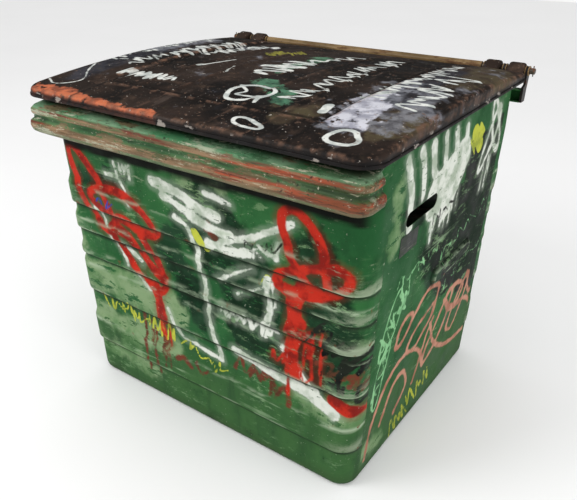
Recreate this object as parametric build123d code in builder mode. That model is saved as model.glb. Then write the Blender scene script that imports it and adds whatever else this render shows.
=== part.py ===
from build123d import *
import math
import os

# Large wheel-less waste container: pressed-steel tub, comb lifting rail, hinged plastic lid.
# Millimetres. Origin at the centre of the base on the ground, +X to the right along the
# front, +Y to the rear, +Z up.

# ---- driving dimensions -------------------------------------------------------------
TUB_HALF_WIDTH_BASE = 556.5
TUB_HALF_DEPTH_BASE = 469.5
TUB_HALF_WIDTH_TOP = 592.0
TUB_HALF_DEPTH_TOP = 492.0
TAPER_TOP_Z = 930.0          # the walls stand vertical above this height
TUB_TOP_Z = 1062.0
CORNER_RADIUS = 62.0
SHEET = 2.0                  # tub sheet thickness
SEAM_Y = 400.0               # the side panels run between the front and rear seams
FIT_GAP = 0.3                # gap between nested pressings

# Swages pressed into the front and rear walls: (bottom step, top bevel, how far proud)
SWAGES = [
    (144.0, 240.0, 11.0),
    (356.0, 474.0, 10.0),
    (506.0, 530.0, 10.0),
    (605.0, 652.0, 11.0),
    (699.0, 774.0, 13.0),
]
STEP_HEIGHT = 7.0            # a swage steps out over this height
BEVEL_HEIGHT = 26.0          # and falls back over this height at most
BEVEL_PER_PROUD = 2.0        # a shallow swage falls back over this many times its depth
# Rounded foot of the walls: (height, how far inside the wall line)
FOOT_PROFILE = [(0.0, 14.0), (3.0, 8.0), (9.0, 3.5), (20.0, 0.0)]

RIM_OUT = 12.0               # rim stands this far outside the wall
RIM_IN = 9.0
RIM_HEIGHT = 16.0
RIM_EDGE_RADIUS = 6.0

# Comb rail: (height, nose distance from the centre line, half length, corner radius)
RAIL_LEVELS = [
    (960.0, 560.0, 600.0, 34.0),
    (968.0, 572.0, 612.0, 40.0),
    (984.0, 577.0, 617.0, 42.0),
    (998.0, 575.0, 615.0, 40.0),
    (1006.0, 565.0, 605.0, 36.0),
    (1016.0, 564.0, 604.0, 36.0),
    (1024.0, 571.0, 610.0, 40.0),
    (1036.0, 571.0, 610.0, 40.0),
    (1046.0, 562.0, 602.0, 38.0),
    (1060.0, 495.0, 594.0, 60.0),
]
RAIL_SHEET = 2.5
RAIL_END_Y = -480.0          # the rail's ends return to the tub corners here
GUSSET_PITCH = 230.0
GUSSET_COUNT = 5
GUSSET_THICKNESS = 4.0
GUSSET_BOTTOM_Z = 966.0

FLOOR_Z = 40.0
FLOOR_FLANGE = 30.0
BEAM_Y = 225.0
BEAM_LENGTH = 900.0
BEAM_WIDTH = 50.0
BEAM_HEIGHT = FLOOR_Z         # the beams' webs are level with the foot of the walls
BEAM_FLANGE = 22.0
BEAM_SHEET = 3.0
PAD_X = 410.0                # centres of the castor pads
PAD_Y = 360.0
PAD_LENGTH = 170.0
PAD_WIDTH = 130.0
PAD_THICKNESS = 8.0
PAD_CORNER_RADIUS = 6.0
CASTOR_SPACING_X = 105.0     # standard castor top plate hole spacing
CASTOR_SPACING_Y = 80.0
CASTOR_HOLE_RADIUS = 5.5

# Hinge
AXIS_Y = 526.0
AXIS_Z = 1100.0
ROD_RADIUS = 10.0
ROD_HALF_LENGTH = 634.0
ROD_CLEARANCE = 0.06
ROD_CHAMFER = 1.5
SPACER_RADIUS = 14.0
SPACER_HALF_LENGTH = 455.0
KNUCKLE_X = [495.0, 575.0]
KNUCKLE_WIDTH = 52.0
KNUCKLE_RADIUS = 24.0
BUSH_RADIUS = 13.0
BUSH_FLANGE_RADIUS = 17.0
BUSH_FLANGE = 1.5
BUSH_LENGTH = 22.0
EAR_X = [535.0, 610.0]
EAR_THICKNESS = 8.0
EAR_BOSS_RADIUS = 15.0
EAR_HEEL = 4.0               # the ear stands this far behind the rear rail at its top
EAR_WALL_GAP = 2.0
EAR_THROAT_Y = 511.0         # front edge of the ear where it passes the rim
EAR_THROAT_Z = 1056.0
EAR_SHOULDER_Z = 1050.0
WASHER_RADIUS = 16.0
WASHER_THICKNESS = 2.5
SPLIT_PIN_RADIUS = 2.0
SPLIT_PIN_X = 628.0
SPLIT_PIN_LENGTH = 34.0

REAR_RAIL_TOP_Z = 1042.0
REAR_RAIL_BOTTOM_Z = 1000.0
REAR_RAIL_DEPTH = 34.0
REAR_RAIL_HALF_LENGTH = 606.0
REAR_RAIL_SHEET = 3.0

# Lid
LID_HALF_WIDTH = 622.0
LID_FRONT_Y = -568.0
LID_REAR_Y = 508.0
LID_SKIRT_Z = 1076.0
LID_REAR_SKIRT_Z = 1086.0
LID_REAR_SKIRT_Y = 470.0
LID_CORNER_RADIUS = 70.0
LID_REAR_CORNER_RADIUS = 45.0
LID_WALL = 4.0
LID_EDGE_RADIUS = 12.0
LID_FRONT_Z = 1102.0
LID_CROWN_Z = 1133.0
LID_REAR_Z = 1099.0
LID_BEAD_HEIGHT = 9.0
LID_BEAD_OUT = 3.0
MARGIN_INNER_X = 400.0
MARGIN_OUTER_X = 590.0
MARGIN_FRONT_Y = -405.0
MARGIN_REAR_Y = 450.0
MARGIN_RAISE = 5.0
RIB_X = [130.0, 265.0]
RIB_WIDTH = 12.0
RIB_RAISE = 3.0
CROSS_RIB_Y = -420.0
NOTCH_WIDTH = 22.0
NOTCH_DEPTH = 16.0
# Side view (Y, Z) of the arm that joins a knuckle to the lid
KNUCKLE_ARM = [
    (480.0, 1090.0),
    (508.0, 1083.0),
    (AXIS_Y, AXIS_Z - KNUCKLE_RADIUS),
    (AXIS_Y, AXIS_Z + KNUCKLE_RADIUS),
    (504.0, 1115.0),
    (480.0, 1101.0),
]
BUFFER_RADIUS = 9.0
BUFFER_STEM_RADIUS = 4.0
BUFFER_STEM_LENGTH = 8.0
BUFFER_HEIGHT = 7.0
BUFFER_TOP_Z = TUB_TOP_Z + RIM_HEIGHT + BUFFER_HEIGHT
BUFFER_SPREAD = 300.0        # the buffers stand this far from the centre lines
BUFFER_SIDE_X = TUB_HALF_WIDTH_TOP + (RIM_OUT - RIM_IN) / 2
BUFFER_FRONT_Y = -TUB_HALF_DEPTH_TOP - (RIM_OUT - RIM_IN) / 2
BUFFER_PLACES = [(x, y) for x in (BUFFER_SIDE_X, -BUFFER_SIDE_X) for y in (-BUFFER_SPREAD, BUFFER_SPREAD)]
BUFFER_PLACES += [(x, BUFFER_FRONT_Y) for x in (BUFFER_SPREAD, -BUFFER_SPREAD)]

# Side wall features, measured on the sloping wall
HANDHOLD_Y = -195.0
HANDHOLD_Z = 852.0
HANDHOLD_LENGTH = 200.0
HANDHOLD_HEIGHT = 44.0
CUP_DEPTH = 44.0
CUP_SHEET = 1.5
CUP_FLANGE = 14.0
CUP_BACK_LENGTH = 168.0
CUP_BACK_HEIGHT = 34.0
CUP_BACK_DROP = -17.0
SIDE_SWAGE_Y = 110.0
SIDE_SWAGE_Z = 560.0
SIDE_SWAGE_LENGTH = 310.0
SIDE_SWAGE_HEIGHT = 60.0
SIDE_SWAGE_PROUD = 12.0
SIDE_SWAGE_TAPER = 25        # degrees
LABEL_Y = -260.0
LABEL_Z = 780.0
LABEL_LENGTH = 110.0
LABEL_HEIGHT = 60.0
LABEL_THICKNESS = 0.8
LABEL_CORNER_RADIUS = 4.0

# Drain in the rear wall
DRAIN_Z = 107.0
DRAIN_RADIUS = 20.0
DRAIN_RING_OUTER = 33.0
DRAIN_RING_FLANGE = 4.0
DRAIN_RING_CHAMFER = 1.0
DRAIN_RING_INSIDE = 14.0     # how far the sleeve runs on into the tub
BUNG_CLEARANCE = 0.05
BUNG_HEAD_RADIUS = 27.0
BUNG_HEAD_LENGTH = 9.0
BUNG_HEAD_ROUNDING = 3.0
PULL_LUG_WIDTH = 8.0
PULL_LUG_HEIGHT = 16.0
PULL_LUG_LENGTH = 12.0
PULL_LUG_ROUNDING = 1.5
PULL_HOLE_RADIUS = 3.3
PULL_RING_RADIUS = 16.0
PULL_RING_WIRE = 2.5

WIDE = 2000.0                # larger than the whole container, for cutting tools


# ---- helpers ------------------------------------------------------------------------
def wall_share(z):
    """How far up the taper a height is: 0 at the base, 1 at the top of the taper."""
    return min(z, TAPER_TOP_Z) / TAPER_TOP_Z


def half_width(z):
    return TUB_HALF_WIDTH_BASE + (TUB_HALF_WIDTH_TOP - TUB_HALF_WIDTH_BASE) * wall_share(z)


def half_depth(z):
    return TUB_HALF_DEPTH_BASE + (TUB_HALF_DEPTH_TOP - TUB_HALF_DEPTH_BASE) * wall_share(z)


def wall_levels():
    """Heights of the tub's outline with how far each stands proud of the plain wall."""
    levels = [(z, -inset, 0.0) for z, inset in FOOT_PROFILE]
    for bottom, top, proud in SWAGES:
        levels.append((bottom, 0.0, 0.0))
        levels.append((bottom + STEP_HEIGHT, 0.0, proud))
        levels.append((top, 0.0, proud))
        levels.append((top + min(BEVEL_HEIGHT, BEVEL_PER_PROUD * proud), 0.0, 0.0))
    levels.append((TAPER_TOP_Z, 0.0, 0.0))
    levels.append((TUB_TOP_Z, 0.0, 0.0))
    return levels


def tub_solid(inset, low=None, high=None):
    """The tub's outline as one block, moved inwards by inset, between two heights."""
    levels = wall_levels()
    with BuildPart() as block:
        for z, grow, proud in levels:
            with BuildSketch(Plane.XY.offset(z)):
                RectangleRounded(
                    2 * (half_width(z) + grow - inset),
                    2 * (half_depth(z) + grow + proud - inset),
                    CORNER_RADIUS + grow - inset,
                )
        loft(ruled=True)
        if low is not None:
            split(bisect_by=Plane.XY.offset(low), keep=Keep.TOP)
        if high is not None:
            split(bisect_by=Plane.XY.offset(high), keep=Keep.BOTTOM)
    return block.part


def rail_solid(inset):
    """The comb rail's outline as one block that runs on into the tub."""
    with BuildPart() as block:
        for z, nose, half_length, corner in RAIL_LEVELS:
            with BuildSketch(Plane.XY.offset(z)):
                RectangleRounded(
                    2 * (half_length - inset),
                    2 * (nose - inset),
                    corner - inset,
                )
        loft(ruled=True)
    return block.part


def side_plane(y, z):
    """A plane on the outside of the sloping right wall, local X to the rear."""
    slope = (TUB_HALF_WIDTH_TOP - TUB_HALF_WIDTH_BASE) / TAPER_TOP_Z
    length = math.hypot(1.0, slope)
    return Plane(
        origin=(half_width(z), y, z),
        x_dir=(0, 1, 0),
        z_dir=(1.0 / length, 0, -slope / length),
    )


def rear_plane(x, z):
    """A plane on the outside of the sloping rear wall, facing outwards, local X to the right."""
    slope = (TUB_HALF_DEPTH_TOP - TUB_HALF_DEPTH_BASE) / TAPER_TOP_Z
    length = math.hypot(1.0, slope)
    return Plane(
        origin=(x, half_depth(z), z),
        x_dir=(1, 0, 0),
        z_dir=(0, 1.0 / length, -slope / length),
    )


def slab(low, high):
    """A block across the whole container between two corners of a box, for cutting."""
    size = [b - a for a, b in zip(low, high)]
    middle = [(a + b) / 2 for a, b in zip(low, high)]
    return Pos(*middle) * Box(*size, mode=Mode.PRIVATE)


os.makedirs("parts", exist_ok=True)

tub_outside = tub_solid(0.0)
tub_inside = tub_solid(SHEET)

# ---- side features, made first because the side panels are cut to suit them -------------
handhold_plane = side_plane(HANDHOLD_Y, HANDHOLD_Z)
side_swage_plane = side_plane(SIDE_SWAGE_Y, SIDE_SWAGE_Z)
label_plane = side_plane(LABEL_Y, LABEL_Z)

# ---- front panel: wraps both front corners ----------------------------------------------
with BuildPart() as front_panel:
    add(tub_outside)
    add(tub_inside, mode=Mode.SUBTRACT)
    split(bisect_by=Plane.XZ.offset(SEAM_Y), keep=Keep.TOP)
front_panel.part.label = "front_panel"
export_step(front_panel.part, "parts/front_panel.step")

# ---- rear panel with the drain hole -------------------------------------------------------
drain_plane = rear_plane(0.0, DRAIN_Z)
with BuildPart() as rear_panel:
    add(tub_outside)
    add(tub_inside, mode=Mode.SUBTRACT)
    split(bisect_by=Plane.XZ.offset(-SEAM_Y), keep=Keep.BOTTOM)
    with BuildSketch(drain_plane):
        Circle(DRAIN_RADIUS + SHEET + FIT_GAP)
    extrude(amount=2 * DRAIN_RING_INSIDE, both=True, mode=Mode.SUBTRACT)
rear_panel.part.label = "rear_panel"
export_step(rear_panel.part, "parts/rear_panel.step")

# ---- right side panel: hand-hold opening and a long pressed swage ---------------------------
with BuildPart() as side_panel_right:
    add(tub_outside)
    add(tub_inside, mode=Mode.SUBTRACT)
    split(bisect_by=Plane.XZ.offset(SEAM_Y), keep=Keep.BOTTOM)
    split(bisect_by=Plane.XZ.offset(-SEAM_Y), keep=Keep.TOP)
    split(bisect_by=Plane.YZ, keep=Keep.TOP)
    with BuildSketch(side_swage_plane.offset(-SHEET)):
        SlotOverall(SIDE_SWAGE_LENGTH, SIDE_SWAGE_HEIGHT)
    extrude(amount=SIDE_SWAGE_PROUD + SHEET, taper=SIDE_SWAGE_TAPER)
    with BuildSketch(side_swage_plane.offset(-SHEET)):
        SlotOverall(SIDE_SWAGE_LENGTH - 2 * SHEET, SIDE_SWAGE_HEIGHT - 2 * SHEET)
    extrude(amount=SIDE_SWAGE_PROUD, taper=SIDE_SWAGE_TAPER, mode=Mode.SUBTRACT)
    with BuildSketch(handhold_plane):
        SlotOverall(HANDHOLD_LENGTH, HANDHOLD_HEIGHT)
    extrude(amount=CUP_DEPTH, both=True, mode=Mode.SUBTRACT)
side_panel_right.part.label = "side_panel_right"
export_step(side_panel_right.part, "parts/side_panel_right.step")

with BuildPart() as side_panel_left:
    mirror(side_panel_right.part, about=Plane.YZ)
side_panel_left.part.label = "side_panel_left"
export_step(side_panel_left.part, "parts/side_panel_left.step")

# ---- floor pan: flat floor with an upturned flange ------------------------------------------
with BuildPart() as floor_pan:
    add(tub_solid(SHEET + FIT_GAP, FLOOR_Z, FLOOR_Z + FLOOR_FLANGE))
    add(tub_solid(2 * SHEET + FIT_GAP, FLOOR_Z + SHEET, TUB_TOP_Z), mode=Mode.SUBTRACT)
    with BuildSketch(Plane.XY.offset(FLOOR_Z)):
        with GridLocations(2 * PAD_X, 2 * PAD_Y, 2, 2):
            with GridLocations(CASTOR_SPACING_X, CASTOR_SPACING_Y, 2, 2):
                Circle(CASTOR_HOLE_RADIUS)
    extrude(amount=SHEET, both=True, mode=Mode.SUBTRACT)
floor_pan.part.label = "floor_pan"
export_step(floor_pan.part, "parts/floor_pan.step")

# ---- castor pads: four drilled plates under the floor's corners --------------------------------
with BuildPart() as castor_pads:
    with BuildSketch(Plane.XY.offset(FLOOR_Z - PAD_THICKNESS)):
        with GridLocations(2 * PAD_X, 2 * PAD_Y, 2, 2):
            RectangleRounded(PAD_LENGTH, PAD_WIDTH, PAD_CORNER_RADIUS)
            with GridLocations(CASTOR_SPACING_X, CASTOR_SPACING_Y, 2, 2):
                Circle(CASTOR_HOLE_RADIUS, mode=Mode.SUBTRACT)
    extrude(amount=PAD_THICKNESS)
castor_pads.part.label = "castor_pads"
export_step(castor_pads.part, "parts/castor_pads.step")

# ---- floor beams: three top-hat sections under the floor --------------------------------------
with BuildPart() as floor_beams:
    with BuildSketch(Plane.YZ):
        with Locations((-BEAM_Y, FLOOR_Z), (0, FLOOR_Z), (BEAM_Y, FLOOR_Z)):
            Rectangle(BEAM_WIDTH + 2 * BEAM_FLANGE, BEAM_SHEET, align=(Align.CENTER, Align.MAX))
            Rectangle(BEAM_WIDTH, BEAM_HEIGHT, align=(Align.CENTER, Align.MAX))
            Rectangle(
                BEAM_WIDTH - 2 * BEAM_SHEET,
                BEAM_HEIGHT - BEAM_SHEET,
                align=(Align.CENTER, Align.MAX),
                mode=Mode.SUBTRACT,
            )
    extrude(amount=BEAM_LENGTH / 2, both=True)
floor_beams.part.label = "floor_beams"
export_step(floor_beams.part, "parts/floor_beams.step")

# ---- rim: rounded hollow collar on top of the walls --------------------------------------------
with BuildPart() as rim_frame:
    with BuildSketch(Plane.XY.offset(TUB_TOP_Z)):
        RectangleRounded(
            2 * (TUB_HALF_WIDTH_TOP + RIM_OUT),
            2 * (TUB_HALF_DEPTH_TOP + RIM_OUT),
            CORNER_RADIUS + RIM_OUT,
        )
        RectangleRounded(
            2 * (TUB_HALF_WIDTH_TOP - RIM_IN),
            2 * (TUB_HALF_DEPTH_TOP - RIM_IN),
            CORNER_RADIUS - RIM_IN,
            mode=Mode.SUBTRACT,
        )
    extrude(amount=RIM_HEIGHT)
    level_edges = rim_frame.edges().group_by(Axis.Z)
    fillet(level_edges[0] + level_edges[-1], RIM_EDGE_RADIUS)
rim_frame.part.label = "rim_frame"
export_step(rim_frame.part, "parts/rim_frame.step")

# ---- comb rail: two-tier lifting rail across the front, open underneath -----------------------
rail_outside = rail_solid(0.0)
rail_inside = rail_solid(RAIL_SHEET)
rail_infill = rail_solid(RAIL_SHEET + FIT_GAP)
with BuildPart() as comb_rail:
    add(rail_outside)
    add(rail_inside, mode=Mode.SUBTRACT)
    add(tub_outside, mode=Mode.SUBTRACT)
    split(bisect_by=Plane.XZ.offset(-RAIL_END_Y), keep=Keep.TOP)
comb_rail.part.label = "comb_rail"
export_step(comb_rail.part, "parts/comb_rail.step")

with BuildPart() as rail_end_plates:
    add(rail_infill)
    add(tub_outside, mode=Mode.SUBTRACT)
    add(
        slab((-WIDE, RAIL_END_Y - RAIL_SHEET, 0), (WIDE, RAIL_END_Y, WIDE)),
        mode=Mode.INTERSECT,
    )
rail_end_plates.part.label = "rail_end_plates"
export_step(rail_end_plates.part, "parts/rail_end_plates.step")

with BuildPart() as rail_gussets:
    with BuildSketch(Plane.XY.offset(GUSSET_BOTTOM_Z)):
        with GridLocations(GUSSET_PITCH, 1, GUSSET_COUNT, 1):
            Rectangle(GUSSET_THICKNESS, WIDE)
    extrude(amount=WIDE)
    add(rail_infill, mode=Mode.INTERSECT)
    add(tub_outside, mode=Mode.SUBTRACT)
    split(bisect_by=Plane.XZ, keep=Keep.TOP)
rail_gussets.part.label = "rail_gussets"
export_step(rail_gussets.part, "parts/rail_gussets.step")

# ---- rear rail: a channel under the rim that carries the hinge --------------------------------
with BuildPart() as rear_rail:
    with BuildSketch(Plane.YZ):
        with Locations((TUB_HALF_DEPTH_TOP, REAR_RAIL_BOTTOM_Z)):
            height = REAR_RAIL_TOP_Z - REAR_RAIL_BOTTOM_Z
            Rectangle(REAR_RAIL_DEPTH, height, align=(Align.MIN, Align.MIN))
            with Locations((0, REAR_RAIL_SHEET)):
                Rectangle(
                    REAR_RAIL_DEPTH - REAR_RAIL_SHEET,
                    height - 2 * REAR_RAIL_SHEET,
                    align=(Align.MIN, Align.MIN),
                    mode=Mode.SUBTRACT,
                )
    extrude(amount=REAR_RAIL_HALF_LENGTH, both=True)
    back_edges = rear_rail.edges().filter_by(Axis.X).group_by(Axis.Y)[-1]
    fillet(back_edges, REAR_RAIL_SHEET)
rear_rail.part.label = "rear_rail"
export_step(rear_rail.part, "parts/rear_rail.step")

# ---- hinge ears: four plates that hold the rod -------------------------------------------------
ear_front_y = TUB_HALF_DEPTH_TOP + EAR_WALL_GAP
ear_back_y = TUB_HALF_DEPTH_TOP + REAR_RAIL_DEPTH
ear_upper = [
    (ear_back_y + EAR_HEEL, REAR_RAIL_TOP_Z),
    (AXIS_Y + EAR_BOSS_RADIUS, AXIS_Z),
    (AXIS_Y - EAR_BOSS_RADIUS, AXIS_Z),
    (EAR_THROAT_Y, EAR_THROAT_Z),
    (ear_front_y, EAR_SHOULDER_Z),
]
ear_foot_inner = [(ear_front_y, REAR_RAIL_TOP_Z)]
ear_foot_outer = [(ear_front_y, REAR_RAIL_BOTTOM_Z), (ear_back_y, REAR_RAIL_BOTTOM_Z)]
with BuildPart() as hinge_ears:
    for ear_x, foot in zip(EAR_X, (ear_foot_inner, ear_foot_outer)):
        for side in (-1, 1):
            with BuildSketch(Plane.YZ.offset(side * ear_x)):
                with BuildLine():
                    Polyline(*ear_upper, *foot, close=True)
                make_face()
                with Locations((AXIS_Y, AXIS_Z)):
                    Circle(EAR_BOSS_RADIUS)
                    Circle(ROD_RADIUS + ROD_CLEARANCE, mode=Mode.SUBTRACT)
            extrude(amount=EAR_THICKNESS / 2, both=True)
hinge_ears.part.label = "hinge_ears"
export_step(hinge_ears.part, "parts/hinge_ears.step")

# ---- hinge rod, its spacer tube, washers and split pins ------------------------------------------
hinge_plane = Plane(origin=(0, AXIS_Y, AXIS_Z), x_dir=(0, 1, 0), z_dir=(1, 0, 0))
with BuildPart() as hinge_rod:
    with BuildSketch(hinge_plane):
        Circle(ROD_RADIUS)
    extrude(amount=ROD_HALF_LENGTH, both=True)
    chamfer(hinge_rod.edges().group_by(Axis.X)[0], ROD_CHAMFER)
    chamfer(hinge_rod.edges().group_by(Axis.X)[-1], ROD_CHAMFER)
    with BuildSketch(Plane.XY.offset(AXIS_Z)):
        with Locations((-SPLIT_PIN_X, AXIS_Y), (SPLIT_PIN_X, AXIS_Y)):
            Circle(SPLIT_PIN_RADIUS + ROD_CLEARANCE)
    extrude(amount=2 * ROD_RADIUS, both=True, mode=Mode.SUBTRACT)
hinge_rod.part.label = "hinge_rod"
export_step(hinge_rod.part, "parts/hinge_rod.step")

with BuildPart() as rod_spacer_tube:
    with BuildSketch(hinge_plane):
        Circle(SPACER_RADIUS)
        Circle(ROD_RADIUS + ROD_CLEARANCE, mode=Mode.SUBTRACT)
    extrude(amount=SPACER_HALF_LENGTH, both=True)
rod_spacer_tube.part.label = "rod_spacer_tube"
export_step(rod_spacer_tube.part, "parts/rod_spacer_tube.step")

knuckle_reach = KNUCKLE_WIDTH / 2 + BUSH_FLANGE
washer_starts = [
    KNUCKLE_X[0] - knuckle_reach - 2 * WASHER_THICKNESS,
    EAR_X[0] - EAR_THICKNESS / 2 - WASHER_THICKNESS,
    EAR_X[0] + EAR_THICKNESS / 2,
    EAR_X[1] - EAR_THICKNESS / 2 - WASHER_THICKNESS,
    EAR_X[1] + EAR_THICKNESS / 2,
]
with BuildPart() as hinge_washers:
    for start in washer_starts:
        with BuildSketch(hinge_plane.offset(start)):
            Circle(WASHER_RADIUS)
            Circle(ROD_RADIUS + ROD_CLEARANCE, mode=Mode.SUBTRACT)
        extrude(amount=WASHER_THICKNESS)
    mirror(about=Plane.YZ)
hinge_washers.part.label = "hinge_washers"
export_step(hinge_washers.part, "parts/hinge_washers.step")

with BuildPart() as split_pins:
    with BuildSketch(Plane.XY.offset(AXIS_Z - SPLIT_PIN_LENGTH / 2)):
        with Locations((-SPLIT_PIN_X, AXIS_Y), (SPLIT_PIN_X, AXIS_Y)):
            Circle(SPLIT_PIN_RADIUS)
    extrude(amount=SPLIT_PIN_LENGTH)
split_pins.part.label = "split_pins"
export_step(split_pins.part, "parts/split_pins.step")

# ---- lid: one moulding with its skirt, edge bead, ribs and hinge knuckles ------------------------


def lid_plan(inset):
    """The lid's outline seen from above, moved inwards by inset."""
    with BuildSketch() as plan:
        with Locations((0, (LID_FRONT_Y + LID_REAR_Y) / 2)):
            Rectangle(
                2 * (LID_HALF_WIDTH - inset),
                LID_REAR_Y - LID_FRONT_Y - 2 * inset,
            )
        corners = plan.vertices().group_by(Axis.Y)
        fillet(corners[0], LID_CORNER_RADIUS - inset)
        fillet(corners[-1], LID_REAR_CORNER_RADIUS - inset)
    return plan.sketch


def lid_block(inset, raise_by, floor_z):
    """The space under the lid's crown, within its outline."""
    with BuildPart() as block:
        with BuildSketch(Plane.YZ):
            with BuildLine():
                crown = ThreePointArc(
                    (LID_FRONT_Y, LID_FRONT_Z + raise_by),
                    ((LID_FRONT_Y + LID_REAR_Y) / 2, LID_CROWN_Z + raise_by),
                    (LID_REAR_Y, LID_REAR_Z + raise_by),
                )
                Polyline(crown @ 1, (LID_REAR_Y, floor_z), (LID_FRONT_Y, floor_z), crown @ 0)
            make_face()
        extrude(amount=WIDE, both=True)
        with BuildSketch(Plane.XY.offset(floor_z)):
            add(lid_plan(inset))
        extrude(amount=WIDE, mode=Mode.INTERSECT)
    return block.part


with BuildPart() as inside_block:
    add(lid_block(LID_BEAD_OUT + LID_WALL, -LID_WALL, LID_SKIRT_Z))
    fillet(inside_block.faces().sort_by(Axis.Z)[-1].edges(), LID_EDGE_RADIUS - LID_WALL)
lid_inside = inside_block.part


def raised_field(places, length, depth, raise_by):
    """Part of the crown lifted a little, from just under its surface."""
    with BuildPart() as field:
        with BuildSketch(Plane.XY.offset(LID_SKIRT_Z)):
            with Locations(*places):
                Rectangle(length, depth)
        extrude(amount=WIDE)
        add(
            lid_block(LID_BEAD_OUT + LID_EDGE_RADIUS, raise_by, LID_SKIRT_Z),
            mode=Mode.INTERSECT,
        )
        add(lid_inside, mode=Mode.SUBTRACT)
    return field.part


margin_x = (MARGIN_INNER_X + MARGIN_OUTER_X) / 2
margin_y = (MARGIN_FRONT_Y + MARGIN_REAR_Y) / 2
with BuildPart() as raised_parts:
    add(
        raised_field(
            [(-margin_x, margin_y), (margin_x, margin_y)],
            MARGIN_OUTER_X - MARGIN_INNER_X,
            MARGIN_REAR_Y - MARGIN_FRONT_Y,
            MARGIN_RAISE,
        )
    )
    add(
        raised_field(
            [(side * x, margin_y) for x in RIB_X for side in (-1, 1)],
            RIB_WIDTH,
            MARGIN_REAR_Y - MARGIN_FRONT_Y,
            RIB_RAISE,
        )
    )
    add(raised_field([(0, CROSS_RIB_Y)], 2 * MARGIN_INNER_X, RIB_WIDTH, RIB_RAISE))
raised_fields = raised_parts.part

with BuildPart() as boss_parts:
    with BuildSketch(Plane.XY.offset(BUFFER_TOP_Z)):
        with Locations(*BUFFER_PLACES):
            Circle(BUFFER_RADIUS)
    extrude(amount=WIDE)
    add(lid_block(LID_BEAD_OUT + LID_WALL, -LID_WALL / 2, LID_SKIRT_Z), mode=Mode.INTERSECT)
buffer_bosses = boss_parts.part

with BuildPart() as lid_shell:
    add(lid_block(LID_BEAD_OUT, 0.0, LID_SKIRT_Z))
    fillet(lid_shell.faces().sort_by(Axis.Z)[-1].edges(), LID_EDGE_RADIUS)
    with BuildSketch(Plane.XY.offset(LID_SKIRT_Z)):
        add(lid_plan(0.0))
    extrude(amount=LID_BEAD_HEIGHT)
    add(lid_inside, mode=Mode.SUBTRACT)
    add(raised_fields)
    add(buffer_bosses)
    add(
        slab((-WIDE, LID_REAR_SKIRT_Y, 0), (WIDE, WIDE, LID_REAR_SKIRT_Z)),
        mode=Mode.SUBTRACT,
    )
    with BuildSketch(Plane.XY.offset(LID_SKIRT_Z)):
        with Locations((-EAR_X[0], AXIS_Y), (EAR_X[0], AXIS_Y)):
            Rectangle(NOTCH_WIDTH, 2 * (AXIS_Y - LID_REAR_Y + NOTCH_DEPTH))
    extrude(amount=WIDE, mode=Mode.SUBTRACT)
    for knuckle_x in KNUCKLE_X:
        for side in (-1, 1):
            with BuildSketch(Plane.YZ.offset(side * knuckle_x)):
                with BuildLine():
                    Polyline(*KNUCKLE_ARM, close=True)
                make_face()
                with Locations((AXIS_Y, AXIS_Z)):
                    Circle(KNUCKLE_RADIUS)
            extrude(amount=KNUCKLE_WIDTH / 2, both=True)
    with BuildSketch(hinge_plane):
        Circle(BUSH_RADIUS + ROD_CLEARANCE)
    extrude(amount=ROD_HALF_LENGTH, both=True, mode=Mode.SUBTRACT)
    with BuildSketch(Plane.XY.offset(BUFFER_TOP_Z)):
        with Locations(*BUFFER_PLACES):
            Circle(BUFFER_STEM_RADIUS)
    extrude(amount=BUFFER_STEM_LENGTH, mode=Mode.SUBTRACT)
lid_shell.part.label = "lid_shell"
export_step(lid_shell.part, "parts/lid_shell.step")

# ---- bushes: a flanged half bush pushed into each end of each knuckle ------------------------------
with BuildPart() as knuckle_bushes:
    for knuckle_x in KNUCKLE_X:
        for end in (-1, 1):
            mouth = knuckle_x + end * KNUCKLE_WIDTH / 2
            with BuildSketch(hinge_plane.offset(mouth)):
                Circle(BUSH_RADIUS)
                Circle(ROD_RADIUS + ROD_CLEARANCE, mode=Mode.SUBTRACT)
            extrude(amount=-end * BUSH_LENGTH)
            with BuildSketch(hinge_plane.offset(mouth)):
                Circle(BUSH_FLANGE_RADIUS)
                Circle(ROD_RADIUS + ROD_CLEARANCE, mode=Mode.SUBTRACT)
            extrude(amount=end * BUSH_FLANGE)
    mirror(about=Plane.YZ)
knuckle_bushes.part.label = "knuckle_bushes"
export_step(knuckle_bushes.part, "parts/knuckle_bushes.step")

# ---- rubber buffers under the lid, resting on the rim --------------------------------------------
with BuildPart() as lid_buffers:
    with BuildSketch(Plane.XY.offset(TUB_TOP_Z + RIM_HEIGHT)):
        with Locations(*BUFFER_PLACES):
            Circle(BUFFER_RADIUS)
    extrude(amount=BUFFER_HEIGHT)
    with BuildSketch(Plane.XY.offset(BUFFER_TOP_Z)):
        with Locations(*BUFFER_PLACES):
            Circle(BUFFER_STEM_RADIUS - FIT_GAP)
    extrude(amount=BUFFER_STEM_LENGTH - FIT_GAP)
lid_buffers.part.label = "lid_buffers"
export_step(lid_buffers.part, "parts/lid_buffers.step")

# ---- hand-hold cups: shallow at the top, deep at the bottom, behind the side openings ----------------


def cup_block(grow, depth):
    """The pocket's shape behind the opening, grown outwards by grow."""
    mouth = handhold_plane.offset(-SHEET)
    with BuildPart() as block:
        with BuildSketch(mouth):
            SlotOverall(HANDHOLD_LENGTH + 2 * grow, HANDHOLD_HEIGHT + 2 * grow)
        with BuildSketch(mouth.offset(-depth)):
            with Locations((0, CUP_BACK_DROP)):
                SlotOverall(CUP_BACK_LENGTH + 2 * grow, CUP_BACK_HEIGHT + 2 * grow)
        loft()
    return block.part


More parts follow.
